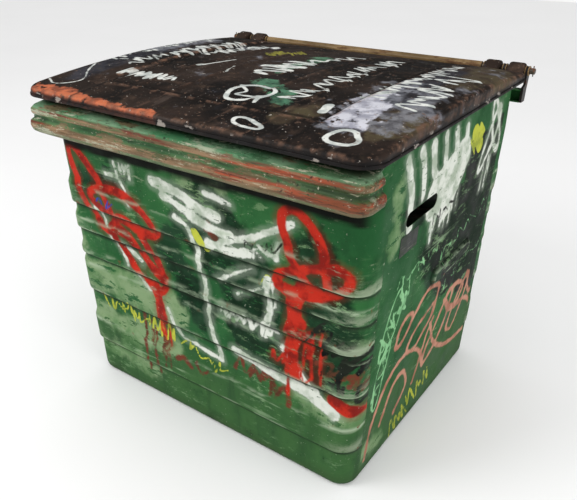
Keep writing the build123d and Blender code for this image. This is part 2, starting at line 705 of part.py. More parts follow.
with BuildPart() as handhold_cup_right:
    add(cup_block(CUP_SHEET, CUP_DEPTH + CUP_SHEET))
    with BuildSketch(handhold_plane.offset(-SHEET)):
        SlotOverall(HANDHOLD_LENGTH + 2 * CUP_FLANGE, HANDHOLD_HEIGHT + 2 * CUP_FLANGE)
    extrude(amount=-CUP_SHEET)
    add(cup_block(0.0, CUP_DEPTH), mode=Mode.SUBTRACT)
handhold_cup_right.part.label = "handhold_cup_right"
export_step(handhold_cup_right.part, "parts/handhold_cup_right.step")

with BuildPart() as handhold_cup_left:
    mirror(handhold_cup_right.part, about=Plane.YZ)
handhold_cup_left.part.label = "handhold_cup_left"
export_step(handhold_cup_left.part, "parts/handhold_cup_left.step")

# ---- blank plate below the right hand-hold ---------------------------------------------------------
with BuildPart() as blank_label:
    with BuildSketch(label_plane):
        RectangleRounded(LABEL_LENGTH, LABEL_HEIGHT, LABEL_CORNER_RADIUS)
    extrude(amount=LABEL_THICKNESS)
blank_label.part.label = "blank_label"
export_step(blank_label.part, "parts/blank_label.step")

# ---- drain: welded ring, rubber bung and its pull ring ----------------------------------------------
with BuildPart() as drain_ring:
    with BuildSketch(drain_plane):
        Circle(DRAIN_RING_OUTER)
    extrude(amount=DRAIN_RING_FLANGE)
    with BuildSketch(drain_plane):
        Circle(DRAIN_RADIUS + SHEET)
    extrude(amount=-SHEET - DRAIN_RING_INSIDE)
    with BuildSketch(drain_plane.offset(DRAIN_RING_FLANGE)):
        Circle(DRAIN_RADIUS)
    extrude(amount=-WIDE, mode=Mode.SUBTRACT)
    chamfer(drain_ring.faces().sort_by(Axis.Y)[-1].outer_wire().edges(), DRAIN_RING_CHAMFER)
drain_ring.part.label = "drain_ring"
export_step(drain_ring.part, "parts/drain_ring.step")

lug_start = DRAIN_RING_FLANGE + BUNG_HEAD_LENGTH
lug_hole = lug_start + PULL_LUG_LENGTH / 2
hole_centre = drain_plane.from_local_coords((0, 0, lug_hole))
lug_hole_plane = Plane(origin=hole_centre, x_dir=drain_plane.z_dir, z_dir=(1, 0, 0))
with BuildPart() as drain_bung:
    with BuildSketch(drain_plane.offset(DRAIN_RING_FLANGE)):
        Circle(BUNG_HEAD_RADIUS)
    extrude(amount=BUNG_HEAD_LENGTH)
    fillet(drain_bung.faces().sort_by(Axis.Y)[-1].edges(), BUNG_HEAD_ROUNDING)
    with BuildSketch(drain_plane.offset(DRAIN_RING_FLANGE)):
        Circle(DRAIN_RADIUS - BUNG_CLEARANCE)
    extrude(amount=-DRAIN_RING_FLANGE - DRAIN_RING_INSIDE)
    with BuildSketch(drain_plane.offset(lug_start)):
        RectangleRounded(PULL_LUG_WIDTH, PULL_LUG_HEIGHT, PULL_LUG_ROUNDING)
    extrude(amount=PULL_LUG_LENGTH)
    with BuildSketch(lug_hole_plane):
        Circle(PULL_HOLE_RADIUS)
    extrude(amount=PULL_LUG_WIDTH, both=True, mode=Mode.SUBTRACT)
drain_bung.part.label = "drain_bung"
export_step(drain_bung.part, "parts/drain_bung.step")

ring_centre = drain_plane.from_local_coords((0, PULL_RING_RADIUS, lug_hole))
with BuildPart(Plane(origin=ring_centre, x_dir=(1, 0, 0), z_dir=drain_plane.z_dir)) as pull_ring:
    Torus(PULL_RING_RADIUS, PULL_RING_WIRE)
pull_ring.part.label = "pull_ring"
export_step(pull_ring.part, "parts/pull_ring.step")
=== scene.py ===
"""Looks of a large steel waste container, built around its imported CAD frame. Metres, +Z up."""
import itertools
import math

import bmesh
import bpy
import numpy as np
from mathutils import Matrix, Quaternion, Vector


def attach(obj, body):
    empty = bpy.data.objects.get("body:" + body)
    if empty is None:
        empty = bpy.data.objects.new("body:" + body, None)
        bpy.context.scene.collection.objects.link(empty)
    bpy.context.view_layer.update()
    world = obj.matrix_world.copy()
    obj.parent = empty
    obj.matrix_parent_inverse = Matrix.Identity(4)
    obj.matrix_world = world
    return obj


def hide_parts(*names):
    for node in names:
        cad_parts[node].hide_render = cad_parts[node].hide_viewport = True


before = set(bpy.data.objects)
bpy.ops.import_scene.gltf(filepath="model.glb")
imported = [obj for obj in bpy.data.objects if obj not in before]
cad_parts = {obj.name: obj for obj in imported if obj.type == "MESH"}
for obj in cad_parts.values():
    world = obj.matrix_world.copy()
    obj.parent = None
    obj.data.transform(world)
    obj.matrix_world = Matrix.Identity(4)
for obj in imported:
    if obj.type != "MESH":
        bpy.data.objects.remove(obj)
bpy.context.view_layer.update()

# ---- driving sizes ----
TUB_BASE_X, TUB_BASE_Y = 0.5565, 0.4695      # half width and half depth at the ground
TUB_TOP_X, TUB_TOP_Y = 0.592, 0.492
TAPER_TOP = 0.930
TUB_TOP = 1.062
TUB_CORNER = 0.062
SHEET = 0.002
SEAM_Y = 0.400
SWAGES = [  # bottom step, top bevel, how far proud
    (0.144, 0.240, 0.011),
    (0.356, 0.474, 0.010),
    (0.506, 0.530, 0.010),
    (0.605, 0.652, 0.011),
    (0.699, 0.774, 0.013),
]
STEP = 0.007
BEVEL = 0.026
FOOT = [(0.0, 0.014), (0.003, 0.008), (0.009, 0.0035), (0.020, 0.0)]
HANDHOLD = (-0.195, 0.852, 0.200, 0.044)     # Y, Z, length, height
SIDE_SWAGE = (0.110, 0.560, 0.310, 0.060)    # the same four for the long pressed swage
SIDE_SWAGE_PROUD = 0.012
LABEL = (-0.260, 0.780)                      # Y, Z of the blank plate
DRAIN_Z = 0.107
DRAIN_HOLE = 0.0223

RAIL_LEVELS = [  # height, nose, half length, corner radius
    (0.960, 0.560, 0.600, 0.034),
    (0.968, 0.572, 0.612, 0.040),
    (0.984, 0.577, 0.617, 0.042),
    (0.998, 0.575, 0.615, 0.040),
    (1.006, 0.565, 0.605, 0.036),
    (1.016, 0.564, 0.604, 0.036),
    (1.024, 0.571, 0.610, 0.040),
    (1.036, 0.571, 0.610, 0.040),
    (1.046, 0.562, 0.602, 0.038),
    (1.060, 0.495, 0.594, 0.060),
]
RAIL_SHEET = 0.0025
RAIL_END_Y = 0.480
RAIL_KNOCKS = [  # place along X, width, depth
    (-0.42, 0.03, 0.004),
    (0.12, 0.05, 0.004),
    (0.38, 0.02, 0.005),
    (0.55, 0.03, 0.003),
]
RAIL_KNOCK_Z = 0.990
SHADOW_Z = (0.896, 0.908)   # above this the wall is painted black under the rail: painted shadow, with some dirt
SHADOW_X = (0.555, 0.588)

LID_X = 0.622
LID_FRONT, LID_REAR = -0.568, 0.508
LID_SKIRT = 1.076
LID_REAR_SKIRT = 1.086
LID_CORNER, LID_REAR_CORNER = 0.070, 0.045
LID_WALL = 0.004
LID_EDGE = 0.012
LID_BEAD = 0.009
LID_BEAD_OUT = 0.003
LID_CROWN = [(-0.568, 1.102), (-0.030, 1.133), (0.508, 1.099)]
MARGIN_X = ((0.390, 0.410), (0.580, 0.604))   # the raised margins' slopes, rising and falling
MARGIN_Y = ((-0.417, -0.385), (0.435, 0.465))
MARGIN_RAISE = 0.0065
FIELD_X = (0.360, 0.385)                      # where the ribbed middle ends
FIELD_Y = ((-0.395, -0.375), (0.430, 0.460))
RIB_X = (0.130, 0.265)
RIB_RAISE = 0.004
SWELL, SWELL_X = 0.0016, 0.195               # soft rise between the ribs
CREASE_Y = (-0.420, -0.402)                  # a ridge and a gutter across the front
CREASE_WIDTH = 0.006
CREASE_END = (0.370, 0.400)
GUTTER_X = 0.386
GUTTER_DEPTH = 0.0034
DROOP_X, DROOP = (0.540, 0.620), 0.0025       # the lid's ends sag a little
AXIS_Y, AXIS_Z = 0.526, 1.100
KNUCKLE_X = (0.495, 0.575)
KNUCKLE_WIDTH = 0.052
KNUCKLE_RADIUS = 0.024
KNUCKLE_BORE = 0.0131
KNUCKLE_ARM = 0.030  # how far a knuckle is drawn out to the lid
NOTCH_X = 0.535
NOTCH = (0.022, 0.016)   # width and depth

DRY_BRUSH = (0.30, 0.30, 1.0)   # bare streaks in a stroke run level
REACH = 0.040   # a paint field holds this value at the edge of a stroke, and 0 this far outside


# ---- numeric helpers ----
def soft_step(low, high, value):
    """0 below low, 1 above high and a smooth rise between."""
    t = np.clip((value - low) / (high - low), 0.0, 1.0)
    return t * t * (3.0 - 2.0 * t)


def plateau(value, rise, fall):
    """0, then 1 after the rise, then 0 again after the fall."""
    return soft_step(*rise, value) * (1 - soft_step(*fall, value))


def hump(value, centre, width):
    """A smooth rise to 1 at centre."""
    return np.exp(-(((value - centre) / width) ** 2))


def lumps(points, size, seed):
    """Smooth random values from -1 to 1 at 3-D points, with features of the given size."""
    scaled = np.asarray(points, float) / size + seed * 17.3
    cell = np.floor(scaled).astype(np.int64)
    part = scaled - cell
    part = part * part * (3.0 - 2.0 * part)
    total = np.zeros(len(scaled))
    for corner in itertools.product((0, 1), repeat=3):
        place = cell + np.array(corner)
        mixed = (place[:, 0] * 73856093) ^ (place[:, 1] * 19349663) ^ (place[:, 2] * 83492791)
        mixed = ((mixed ^ (mixed >> 13)) * 1274126177) & 0xFFFFFFFF
        value = ((mixed ^ (mixed >> 16)) & 0xFFFF) / 32767.5 - 1.0
        total += value * np.prod(np.where(corner, part, 1.0 - part), axis=1)
    return total


def capsule_gap(u, v, length, height):
    """Distance outside a slot shape centred on the origin, negative inside it."""
    half = (length - height) / 2
    return np.hypot(np.maximum(np.abs(u) - half, 0.0), v) - height / 2


def smooth_line(points, steps=8):
    """A curve through 2-D points (Catmull-Rom), as a polyline."""
    p = np.array(points, float)
    if len(p) < 3:
        return p
    p = np.vstack([2 * p[0] - p[1], p, 2 * p[-1] - p[-2]])
    t = np.linspace(0, 1, steps, endpoint=False)[:, None]
    pieces = []
    for a, b, c, d in zip(p[:-3], p[1:-2], p[2:-1], p[3:]):
        square, cube = 2 * a - 5 * b + 4 * c - d, 3 * b - a - 3 * c + d
        pieces.append(0.5 * (2 * b + (c - a) * t + square * t**2 + cube * t**3))
    return np.vstack(pieces + [p[-2:-1]])


# ---- mesh helpers ----
SHARP = 35.0   # degrees between faces


def grid_faces(rows, columns, start=0, around=False, flip=False):
    """Quads of a grid of rows x columns vertices, closed round its columns if around."""
    last = columns if around else columns - 1
    r, c = np.meshgrid(np.arange(rows - 1), np.arange(last), indexing="ij")
    r, c = r.ravel(), c.ravel()
    n = (c + 1) % columns
    quads = np.stack([r * columns + c, r * columns + n, (r + 1) * columns + n, (r + 1) * columns + c], 1)
    return start + (quads[:, ::-1] if flip else quads)


def shell_mesh(outer, inner):
    """Vertices and faces of a closed sheet between two grids of the same shape."""
    rows, columns, _ = outer.shape
    count = rows * columns
    index = np.arange(count).reshape(rows, columns)
    rim = np.concatenate([index[0], index[1:, -1], index[-1, -2::-1], index[-2:0:-1, 0]])
    following = np.roll(rim, -1)
    sides = np.stack([following, rim, rim + count, following + count], 1)
    faces = np.vstack([grid_faces(rows, columns), grid_faces(rows, columns, count, flip=True), sides])
    return np.vstack([outer.reshape(-1, 3), inner.reshape(-1, 3)]), faces


def new_object(name, vertices, faces, sharp=SHARP):
    """A mesh object, merged, turned outwards and smooth but for its sharp edges."""
    mesh = bpy.data.meshes.new(name)
    mesh.from_pydata(np.asarray(vertices, float).tolist(), [], [list(map(int, f)) for f in faces])
    work = bmesh.new()
    work.from_mesh(mesh)
    bmesh.ops.remove_doubles(work, verts=work.verts, dist=1e-5)
    bmesh.ops.dissolve_degenerate(work, dist=1e-6, edges=work.edges)
    bmesh.ops.recalc_face_normals(work, faces=work.faces)
    work.to_mesh(mesh)
    work.free()
    piece = bpy.data.objects.new(name, mesh)
    bpy.context.scene.collection.objects.link(piece)
    smooth_by_angle(piece, sharp)
    return piece


def smooth_by_angle(piece, sharp):
    piece.data.shade_smooth()
    piece.data.set_sharp_from_angle(angle=math.radians(sharp))


def cut(piece, vertices, faces):
    """Cuts a closed shape out of a piece, and applies the result."""
    cutter = new_object("cutter", vertices, faces)
    change = piece.modifiers.new("cut", "BOOLEAN")
    change.operation = "DIFFERENCE"
    change.solver = "EXACT"
    change.object = cutter
    graph = bpy.context.evaluated_depsgraph_get()
    result = bpy.data.meshes.new_from_object(piece.evaluated_get(graph))
    piece.modifiers.clear()
    old = piece.data
    piece.data = result
    result.name = piece.name
    bpy.data.meshes.remove(old)
    bpy.data.objects.remove(cutter)
    smooth_by_angle(piece, SHARP)


def prism(outline, low, high, plane):
    """A closed prism: a 2-D outline between two distances; plane turns (u, v, w) into (x, y, z)."""
    count = len(outline)
    ends = [[plane(u, v, w) for u, v in outline] for w in (low, high)]
    faces = [list(range(count)), list(range(count, 2 * count))[::-1]]
    faces += [[(k + 1) % count, k, k + count, (k + 1) % count + count] for k in range(count)]
    return ends[0] + ends[1], faces


def vertices_of(piece):
    flat = np.zeros(len(piece.data.vertices) * 3)
    piece.data.vertices.foreach_get("co", flat)
    return flat.reshape(-1, 3)


def store(piece, name, values):
    layer = piece.data.attributes.new(name, "FLOAT", "POINT")
    layer.data.foreach_set("value", np.asarray(values, np.float32))


# ---- paint strokes, in mm: each is (polyline in m, half width in m) ----
def metres(*lengths):
    return [np.array(length, float) / 1000 for length in lengths]


def each(kind, *marks):
    """The strokes of several marks of one kind."""
    return [part for mark in marks for part in kind(*mark)]


def stroke(width, *points):
    line, width = metres(points, width)
    return [(smooth_line(line), width / 2)]


def loop(centre, size, tilt, width, wobble, seed):
    """An uneven closed loop."""
    centre, size, width = metres(centre, size, width)
    turn = np.linspace(0, 2 * math.pi, 33)
    shift = np.random.default_rng(seed).uniform(0, 6, 2)
    swell = 1 + wobble * np.sin(2 * turn + shift[0]) + wobble * np.sin(3 * turn + shift[1])
    u, v = size[0] * np.cos(turn) * swell, size[1] * np.sin(turn) * swell
    c, s = math.cos(math.radians(tilt)), math.sin(math.radians(tilt))
    return [(np.stack([centre[0] + c * u - s * v, centre[1] + s * u + c * v], 1), width / 2)]


def scrawl(start, end, height, count, width, seed):
    """A continuous random scribble between two points, lifted off in a few places."""
    start, end, height, width = metres(start, end, height, width)
    draw = np.random.default_rng(seed)
    across = np.array([start[1] - end[1], end[0] - start[0]]) / np.linalg.norm(end - start) * height
    turns = 3 * count
    along = (np.arange(turns) + draw.uniform(-1.3, 1.3, turns)) / (turns - 1)
    sway = draw.uniform(0.05, 0.5, turns) * np.where(np.arange(turns) % 2, 1, -1)
    points = start + along[:, None] * (end - start) + sway[:, None] * across
    lifts = np.sort(draw.choice(np.arange(3, turns - 2), max(1, count // 4), replace=False))
    parts = [part for part in np.split(points, lifts) if len(part) > 1]
    return [(smooth_line(part, 5), width / 2 * draw.uniform(0.7, 1.2)) for part in parts]


def drips(start, end, count, longest, width, seed):
    """Runs of paint hanging from a line."""
    start, end, longest, width = metres(start, end, longest, width)
    draw = np.random.default_rng(seed)
    marks = []
    for _ in range(count):
        t = draw.random()
        top = start * (1 - t) + end * t
        fall = longest * draw.uniform(0.25, 1.0)
        sway = draw.uniform(-0.004, 0.004)
        line = np.array([top, top + (sway, -fall / 2), top + (0, -fall)])
        marks.append((line, width / 2 * draw.uniform(0.6, 1.1)))
    return marks


def field(places, strokes):
    """REACH at a stroke's edge, more inside it, falling to 0 at REACH outside it."""
    values = np.zeros(len(places))
    for line, half in strokes:
        low, high = line.min(0) - half - REACH, line.max(0) + half + REACH
        near = np.where(((places > low) & (places < high)).all(1))[0]
        p = places[near]
        best = np.full(len(near), 1.0)
        for a, b in zip(line[:-1], line[1:]):
            step = b - a
            t = np.clip(((p - a) @ step) / max(step @ step, 1e-12), 0, 1)
            best = np.minimum(best, np.hypot(*(p - a - t[:, None] * step).T))
        values[near] = np.maximum(values[near], REACH + half - best)
    return np.maximum(values, 0.0)


# ---- tub walls ----
def wall_heights():
    """Heights of the wall's rows, close together at the swages."""
    fine = [np.linspace(0, 0.024, 9)]
    for bottom, top, proud in SWAGES:
        bevel = min(BEVEL, 2 * proud)
        fine.append(np.arange(bottom - 0.004, bottom + STEP + 0.005, 0.0018))
        fine.append(np.arange(top - 0.004, top + bevel + 0.004, 0.0032))
    plain = np.linspace(0.03, TUB_TOP, 112)
    close = np.concatenate(fine)
    plain = [z for z in plain if np.abs(close - z).min() > 0.004] + [TUB_TOP]
    return np.unique(np.round(np.concatenate([close, plain]), 5))


def wall_profile(heights):
    """How far the front wall's outline grows all round, and how far its swages stand proud."""
    fine = np.arange(-0.02, TUB_TOP + 0.03, 0.0005)
    knots = [(-1.0, 0.0)]
    for bottom, top, proud in SWAGES:
        bevel = min(BEVEL, 2 * proud)
        knots += [(bottom, 0.0), (bottom + STEP, proud), (top, proud), (top + bevel, 0.0)]
    knots.append((2.0, 0.0))
    raw = np.interp(fine, *zip(*knots))
    kernel = np.hanning(17)
    rounded = np.convolve(raw, kernel / kernel.sum(), mode="same")
    grow = -np.interp(heights, *zip(*FOOT))
    return grow, np.interp(heights, fine, rounded)


def half_size(heights):
    share = np.minimum(heights, TAPER_TOP) / TAPER_TOP
    return TUB_BASE_X + (TUB_TOP_X - TUB_BASE_X) * share, TUB_BASE_Y + (TUB_TOP_Y - TUB_BASE_Y) * share


def end_path(half_x, half_y, corner, end_y, columns=170, arc=13, straight=6):
    """Points and outward directions along a rounded front, from one side round to the other."""
    turn = np.linspace(0, math.pi / 2, arc)
    run = np.linspace(0, 1, straight, endpoint=False)
    flat = np.linspace(-(half_x - corner), half_x - corner, columns)[1:-1]
    side = [
        np.full(straight, -half_x),
        -end_y + (-(half_y - corner) + end_y) * run,
        np.full(straight, -1.0),
        np.zeros(straight),
    ]
    bend = [
        -(half_x - corner) - corner * np.cos(turn),
        -(half_y - corner) - corner * np.sin(turn),
        -np.cos(turn),
        -np.sin(turn),
    ]
    front = [flat, np.full(len(flat), -half_y), np.zeros(len(flat)), np.full(len(flat), -1.0)]
    half = np.hstack([side, bend])
    other_half = half[:, ::-1] * [[-1], [1], [-1], [1]]
    return np.hstack([half, front, other_half])


DENTS = [  # place, radius, depth
    ((0.30, -0.49, 0.60), 0.09, 0.004),
    ((0.47, -0.49, 0.38), 0.07, 0.005),
    ((-0.36, -0.49, 0.30), 0.10, 0.004),
    ((-0.50, -0.48, 0.69), 0.06, 0.004),
    ((0.58, 0.22, 0.50), 0.12, 0.005),
    ((0.58, -0.28, 0.33), 0.10, 0.004),
    ((-0.58, 0.05, 0.35), 0.14, 0.005),
    ((-0.59, -0.20, 0.62), 0.08, 0.004),
    ((-0.25, 0.49, 0.58), 0.12, 0.005),
    ((0.33, 0.49, 0.30), 0.10, 0.004),
]


def dent_depth(points):
    """How far the sheet is pushed out by waves and knocks, none where other parts touch it."""
    y, z = points[:, 1], points[:, 2]
    keep = soft_step(0.075, 0.13, z) * (1 - soft_step(0.90, 0.955, z))
    for side_y, side_z in (HANDHOLD[:2], LABEL):
        keep *= soft_step(0.07, 0.15, np.hypot((y - side_y) * 0.75, z - side_z) + (np.abs(y) > SEAM_Y))
    keep *= soft_step(0.04, 0.10, np.hypot(points[:, 0], z - DRAIN_Z) + (y < 0.3))
    waves = 0.0015 * lumps(points, 0.19, 1) + 0.0007 * lumps(points, 0.06, 2)
    for place, radius, depth in DENTS:
        gap = np.linalg.norm(points - np.array(place), axis=1)
        waves -= depth * hump(gap, 0.0, radius / 1.7) * (1 + 0.3 * lumps(points, 0.03, 3))
    return waves * keep


def end_panel(name, facing):
    """The front panel (facing -1) or the rear panel (facing 1), wrapping both corners."""
    heights = wall_heights()
    grow, proud = wall_profile(heights)
    hx, hy = half_size(heights)
    outer, out = [], []
    for z, g, p, x0, y0 in zip(heights, grow, proud, hx, hy):
        x, y, u, v = end_path(x0 + g, y0 + g + p, TUB_CORNER + g, SEAM_Y)
        outer.append(np.stack([x, -facing * y, np.full(len(x), z)], 1))
        out.append(np.stack([u, -facing * v, np.zeros(len(u))], 1))
    outer, out = np.array(outer), np.array(out)
    outer = outer + out * dent_depth(outer.reshape(-1, 3)).reshape(outer.shape[:2])[..., None]
    return new_object(name, *shell_mesh(outer, outer - out * SHEET))


def swage_gap(y, z):
    return capsule_gap(y - SIDE_SWAGE[0], z - SIDE_SWAGE[1], *SIDE_SWAGE[2:])


def side_bump(y, z):
    return SIDE_SWAGE_PROUD * (1 - soft_step(-0.010, 0.001, swage_gap(y, z)))


def side_panel(name, side):
    """The flat wall between the seams, with its pressed swage and hand-hold."""
    heights = wall_heights()
    grow, _ = wall_profile(heights)
    hx, _ = half_size(heights)
    along = np.linspace(-SEAM_Y, SEAM_Y, 132)
    y, z = np.meshgrid(along, heights)
    outer = np.stack([(hx + grow)[:, None] + 0 * y, y, z], -1)
    outer[..., 0] += dent_depth(outer.reshape(-1, 3) * (side, 1, 1)).reshape(y.shape) + side_bump(y, z)
    inner = outer - np.array([SHEET, 0, 0])
    piece = new_object(name, *shell_mesh(outer * (side, 1, 1), inner * (side, 1, 1)))
    hold_y, hold_z, length, height = HANDHOLD
    turn = np.linspace(0, 2 * math.pi, 48, endpoint=False)
    reach = (length - height) / 2
    outline = [(hold_y + math.copysign(reach, math.cos(t)) + height / 2 * math.cos(t),
                hold_z + height / 2 * math.sin(t)) for t in turn]
    cut(piece, *prism(outline, 0.5, 0.7, lambda u, v, w: (side * w, u, v)))
    return piece


front_panel = end_panel("front_wall", -1)
rear_panel = end_panel("rear_wall", 1)
turns = np.arange(40) * math.pi / 20
circle = [(DRAIN_HOLE * math.cos(t), DRAIN_Z + DRAIN_HOLE * math.sin(t)) for t in turns]
cut(rear_panel, *prism(circle, 0.4, 0.6, lambda u, v, w: (u, w, v)))
right_panel = side_panel("right_wall", 1)
left_panel = side_panel("left_wall", -1)

# ---- paint on the walls, all of it free strokes that spell nothing ----
FRONT_PAINT = {
    "faded": each(stroke, (130, (-500, 420), (-300, 440), (-120, 430)),
        (70, (-570, 350), (-570, 620), (-585, 930)), (60, (400, 300), (560, 280)),
        (50, (460, 500), (550, 530)), (80, (-20, 880), (100, 885)),
        (90, (-540, 280), (-350, 260), (-150, 270)), (80, (-540, 120), (-400, 130), (-250, 110))),
    "bottle": each(stroke, (240, (50, 780), (200, 620), (240, 450)),
        (160, (420, 800), (470, 600), (440, 420)), (120, (-100, 660), (20, 460)),
        (80, (-480, 780), (-300, 860))),
    "white": (
        each(stroke, (34, (-150, 865), (-60, 855), (20, 825), (100, 810)),
            (24, (-110, 830), (-20, 800), (80, 775), (160, 770)),
            (18, (60, 875), (110, 868), (150, 862)),
            (22, (70, 705), (150, 755), (240, 790), (360, 860)),
            (30, (70, 725), (150, 722), (220, 735)),
            (16, (-60, 775), (0, 745), (30, 600), (55, 440), (85, 295)),
            (11, (100, 610), (170, 655), (220, 680)), (9, (160, 575), (200, 600), (260, 635)),
            (18, (330, 460), (400, 380), (500, 270)),
            (12, (85, 295), (-20, 315), (-90, 330), (-130, 420)),
            (12, (-360, 845), (-300, 835), (-255, 760)), (14, (-420, 720), (-350, 600), (-300, 530)),
            (18, (-310, 605), (-240, 560)), (12, (-275, 505), (-220, 475), (-160, 470)),
            (13, (260, 515), (310, 495)), (40, (150, 365), (280, 345), (400, 325), (500, 285)))
        + drips((250, 670), (300, 660), 4, 200, 16, 10)
        + each(scrawl, ((80, 500), (280, 490), 45, 6, 9, 4), ((-320, 875), (-240, 870), 50, 4, 10, 9),
            ((220, 735), (330, 775), 50, 4, 9, 12))
    ),
    "red": (
        each(loop, ((-435, 770), (155, 52), 121, 28, 0.06, 3),
            ((-290, 735), (150, 48), -16, 27, 0.07, 4), ((-245, 595), (150, 60), 131, 28, 0.06, 5),
            ((405, 795), (130, 50), 122, 28, 0.06, 7), ((430, 710), (115, 46), 20, 28, 0.07, 8))
        + each(stroke, (32, (-360, 660), (-270, 640), (-200, 560), (-130, 530)),
            (36, (-185, 490), (-165, 430), (-160, 360)), (50, (400, 680), (370, 620), (360, 520)),
            (38, (385, 560), (365, 460), (372, 370)), (45, (500, 335), (550, 305)))
        + each(drips, ((-200, 440), (-140, 380), 5, 160, 9, 2), ((340, 520), (460, 550), 7, 240, 11, 6))
        + scrawl((290, 430), (430, 380), 60, 5, 9, 14)
    ),
    "rust": (
        each(scrawl, ((140, 330), (360, 260), 100, 7, 11, 21), ((460, 470), (590, 400), 70, 5, 13, 22),
            ((-100, 240), (20, 220), 40, 2, 12, 24))
        + each(drips, ((-240, 330), (-120, 310), 5, 140, 12, 23),
            ((-300, 360), (-140, 330), 7, 260, 11, 26))
        + stroke(30, (70, 775), (100, 750))
    ),
    "lime": (
        each(scrawl, ((-470, 335), (-120, 315), 85, 11, 7, 31), ((-80, 300), (100, 250), 60, 4, 6, 32),
            ((260, 665), (300, 660), 50, 2, 6, 33))
        + stroke(30, (20, 745), (55, 700))
    ),
    "black": each(scrawl, ((420, 560), (570, 460), 120, 5, 10, 41),
        ((460, 420), (570, 360), 80, 4, 10, 43), ((200, 760), (320, 780), 30, 4, 5, 42)),
    "blue": scrawl((-400, 745), (-345, 740), 40, 2, 6, 44),
}

SIDE_PAINT = {
    "faded": each(stroke, (50, (-360, 960), (-340, 800)), (50, (-380, 100), (-300, 70))),
    "bottle": each(stroke, (160, (-80, 660), (20, 570), (100, 500)), (140, (100, 780), (300, 880)),
        (90, (-280, 870), (-120, 845)), (80, (120, 930), (180, 840))),
    "night": each(stroke, (260, (20, 700), (200, 700), (400, 700)),
        (260, (120, 570), (260, 540), (400, 500)), (260, (240, 840), (400, 840)),
        (100, (280, 420), (380, 380)), (100, (340, 880), (380, 950)), (50, (-270, 862), (-100, 850)),
        (50, (130, 900), (170, 830))),
    "white": (
        each(stroke, (150, (-100, 860), (20, 900)), (120, (-20, 820), (60, 930)),
            (32, (-320, 1030), (-285, 930), (-270, 830)), (30, (-240, 1035), (-215, 970), (-205, 890)),
            (32, (-165, 1030), (-150, 960), (-120, 910)), (28, (-85, 1035), (-70, 960)),
            (30, (-10, 1030), (10, 950)), (26, (70, 1020), (80, 950)))
        + each(loop, ((300, 930), (105, 34), 58, 16, 0.1, 19), ((335, 955), (95, 32), 118, 15, 0.1, 20))
        + each(drips, ((240, 870), (380, 860), 6, 120, 10, 52),
            ((-140, 820), (80, 830), 9, 130, 14, 51))
    ),
    "pale": (
        each(scrawl, ((-360, 440), (-200, 620), 100, 6, 8, 61), ((-300, 660), (-20, 660), 50, 6, 5, 62),
            ((-380, 260), (-300, 420), 60, 4, 6, 63), ((0, 600), (400, 680), 70, 7, 3, 64),
            ((60, 460), (440, 520), 60, 6, 3, 65))
        + each(loop, ((-300, 530), (120, 35), 64, 9, 0.1, 28), ((-330, 360), (110, 28), 74, 8, 0.1, 29))
    ),
    "salmon": (
        each(stroke, (17, (-375, 60), (-345, 200), (-270, 300), (-170, 340), (-50, 290), (10, 190)),
            (16, (-290, 140), (-230, 250), (-160, 270), (-120, 190), (-190, 120)),
            (16, (-150, 460), (-50, 520), (50, 490), (20, 400)),
            (18, (20, 360), (90, 240), (220, 160), (400, 130)),
            (17, (120, 400), (200, 320), (340, 300), (440, 220)), (15, (-60, 160), (0, 310), (40, 370)),
            (15, (320, 420), (380, 310), (460, 340)))
        + each(loop, ((-200, 455), (55, 35), 35, 16, 0.08, 11),
            ((220, 375), (85, 40), -20, 16, 0.09, 13), ((100, 300), (130, 45), 48, 16, 0.1, 25),
            ((-60, 380), (100, 38), 28, 15, 0.1, 26), ((270, 310), (120, 40), 58, 15, 0.1, 27))
    ),
    "lime": (
        each(scrawl, ((-200, 50), (80, 130), 100, 9, 8, 71), ((130, 940), (220, 990), 70, 3, 12, 72))
        + stroke(50, (145, 985), (200, 930))
    ),
    "black": scrawl((-100, 780), (50, 800), 50, 4, 8, 81),
}

REAR_PAINT = {
    "faded": each(stroke, (140, (-400, 450), (50, 500), (350, 420)), (80, (450, 800), (500, 600))),
    "bottle": each(stroke, (220, (-300, 800), (50, 740)), (160, (300, 620), (420, 560))),
    "white": (
        each(stroke, (50, (-460, 815), (-280, 830), (-50, 820)),
            (30, (-420, 775), (-250, 770), (-100, 785)))
        + each(scrawl, ((20, 860), (470, 840), 110, 14, 12, 91),
            ((-480, 340), (-80, 310), 80, 13, 8, 92))
        + drips((-420, 800), (-80, 800), 7, 160, 7, 96)
    ),
    "red": (
        each(loop, ((200, 600), (160, 60), 14, 30, 0.06, 15),
            ((300, 570), (120, 50), -38, 28, 0.07, 16))
        + drips((80, 560), (380, 520), 9, 200, 10, 93)
    ),
    "lime": scrawl((-350, 570), (-100, 550), 90, 6, 9, 94),
    "rust": drips((-450, 250), (450, 250), 9, 120, 10, 95),
}

LEFT_PAINT = {
    "faded": each(stroke, (160, (-300, 320), (100, 360)), (60, (340, 900), (360, 600))),
    "bottle": each(stroke, (200, (-200, 660), (160, 720)), (140, (220, 440), (340, 360))),
    "white": (
        stroke(40, (0, 960), (160, 950), (330, 965))
        + each(scrawl, ((-20, 800), (360, 840), 120, 12, 14, 104),
            ((-360, 480), (20, 520), 90, 12, 10, 101))
    ),
    "salmon": (
        each(loop, ((120, 400), (140, 50), -18, 18, 0.08, 17), ((50, 330), (130, 50), 30, 17, 0.08, 18))
        + drips((-20, 320), (240, 360), 6, 160, 9, 105)
    ),
    "lime": scrawl((-300, 100), (0, 120), 70, 7, 8, 102),
    "pale": scrawl((100, 600), (360, 620), 80, 6, 8, 103),
}


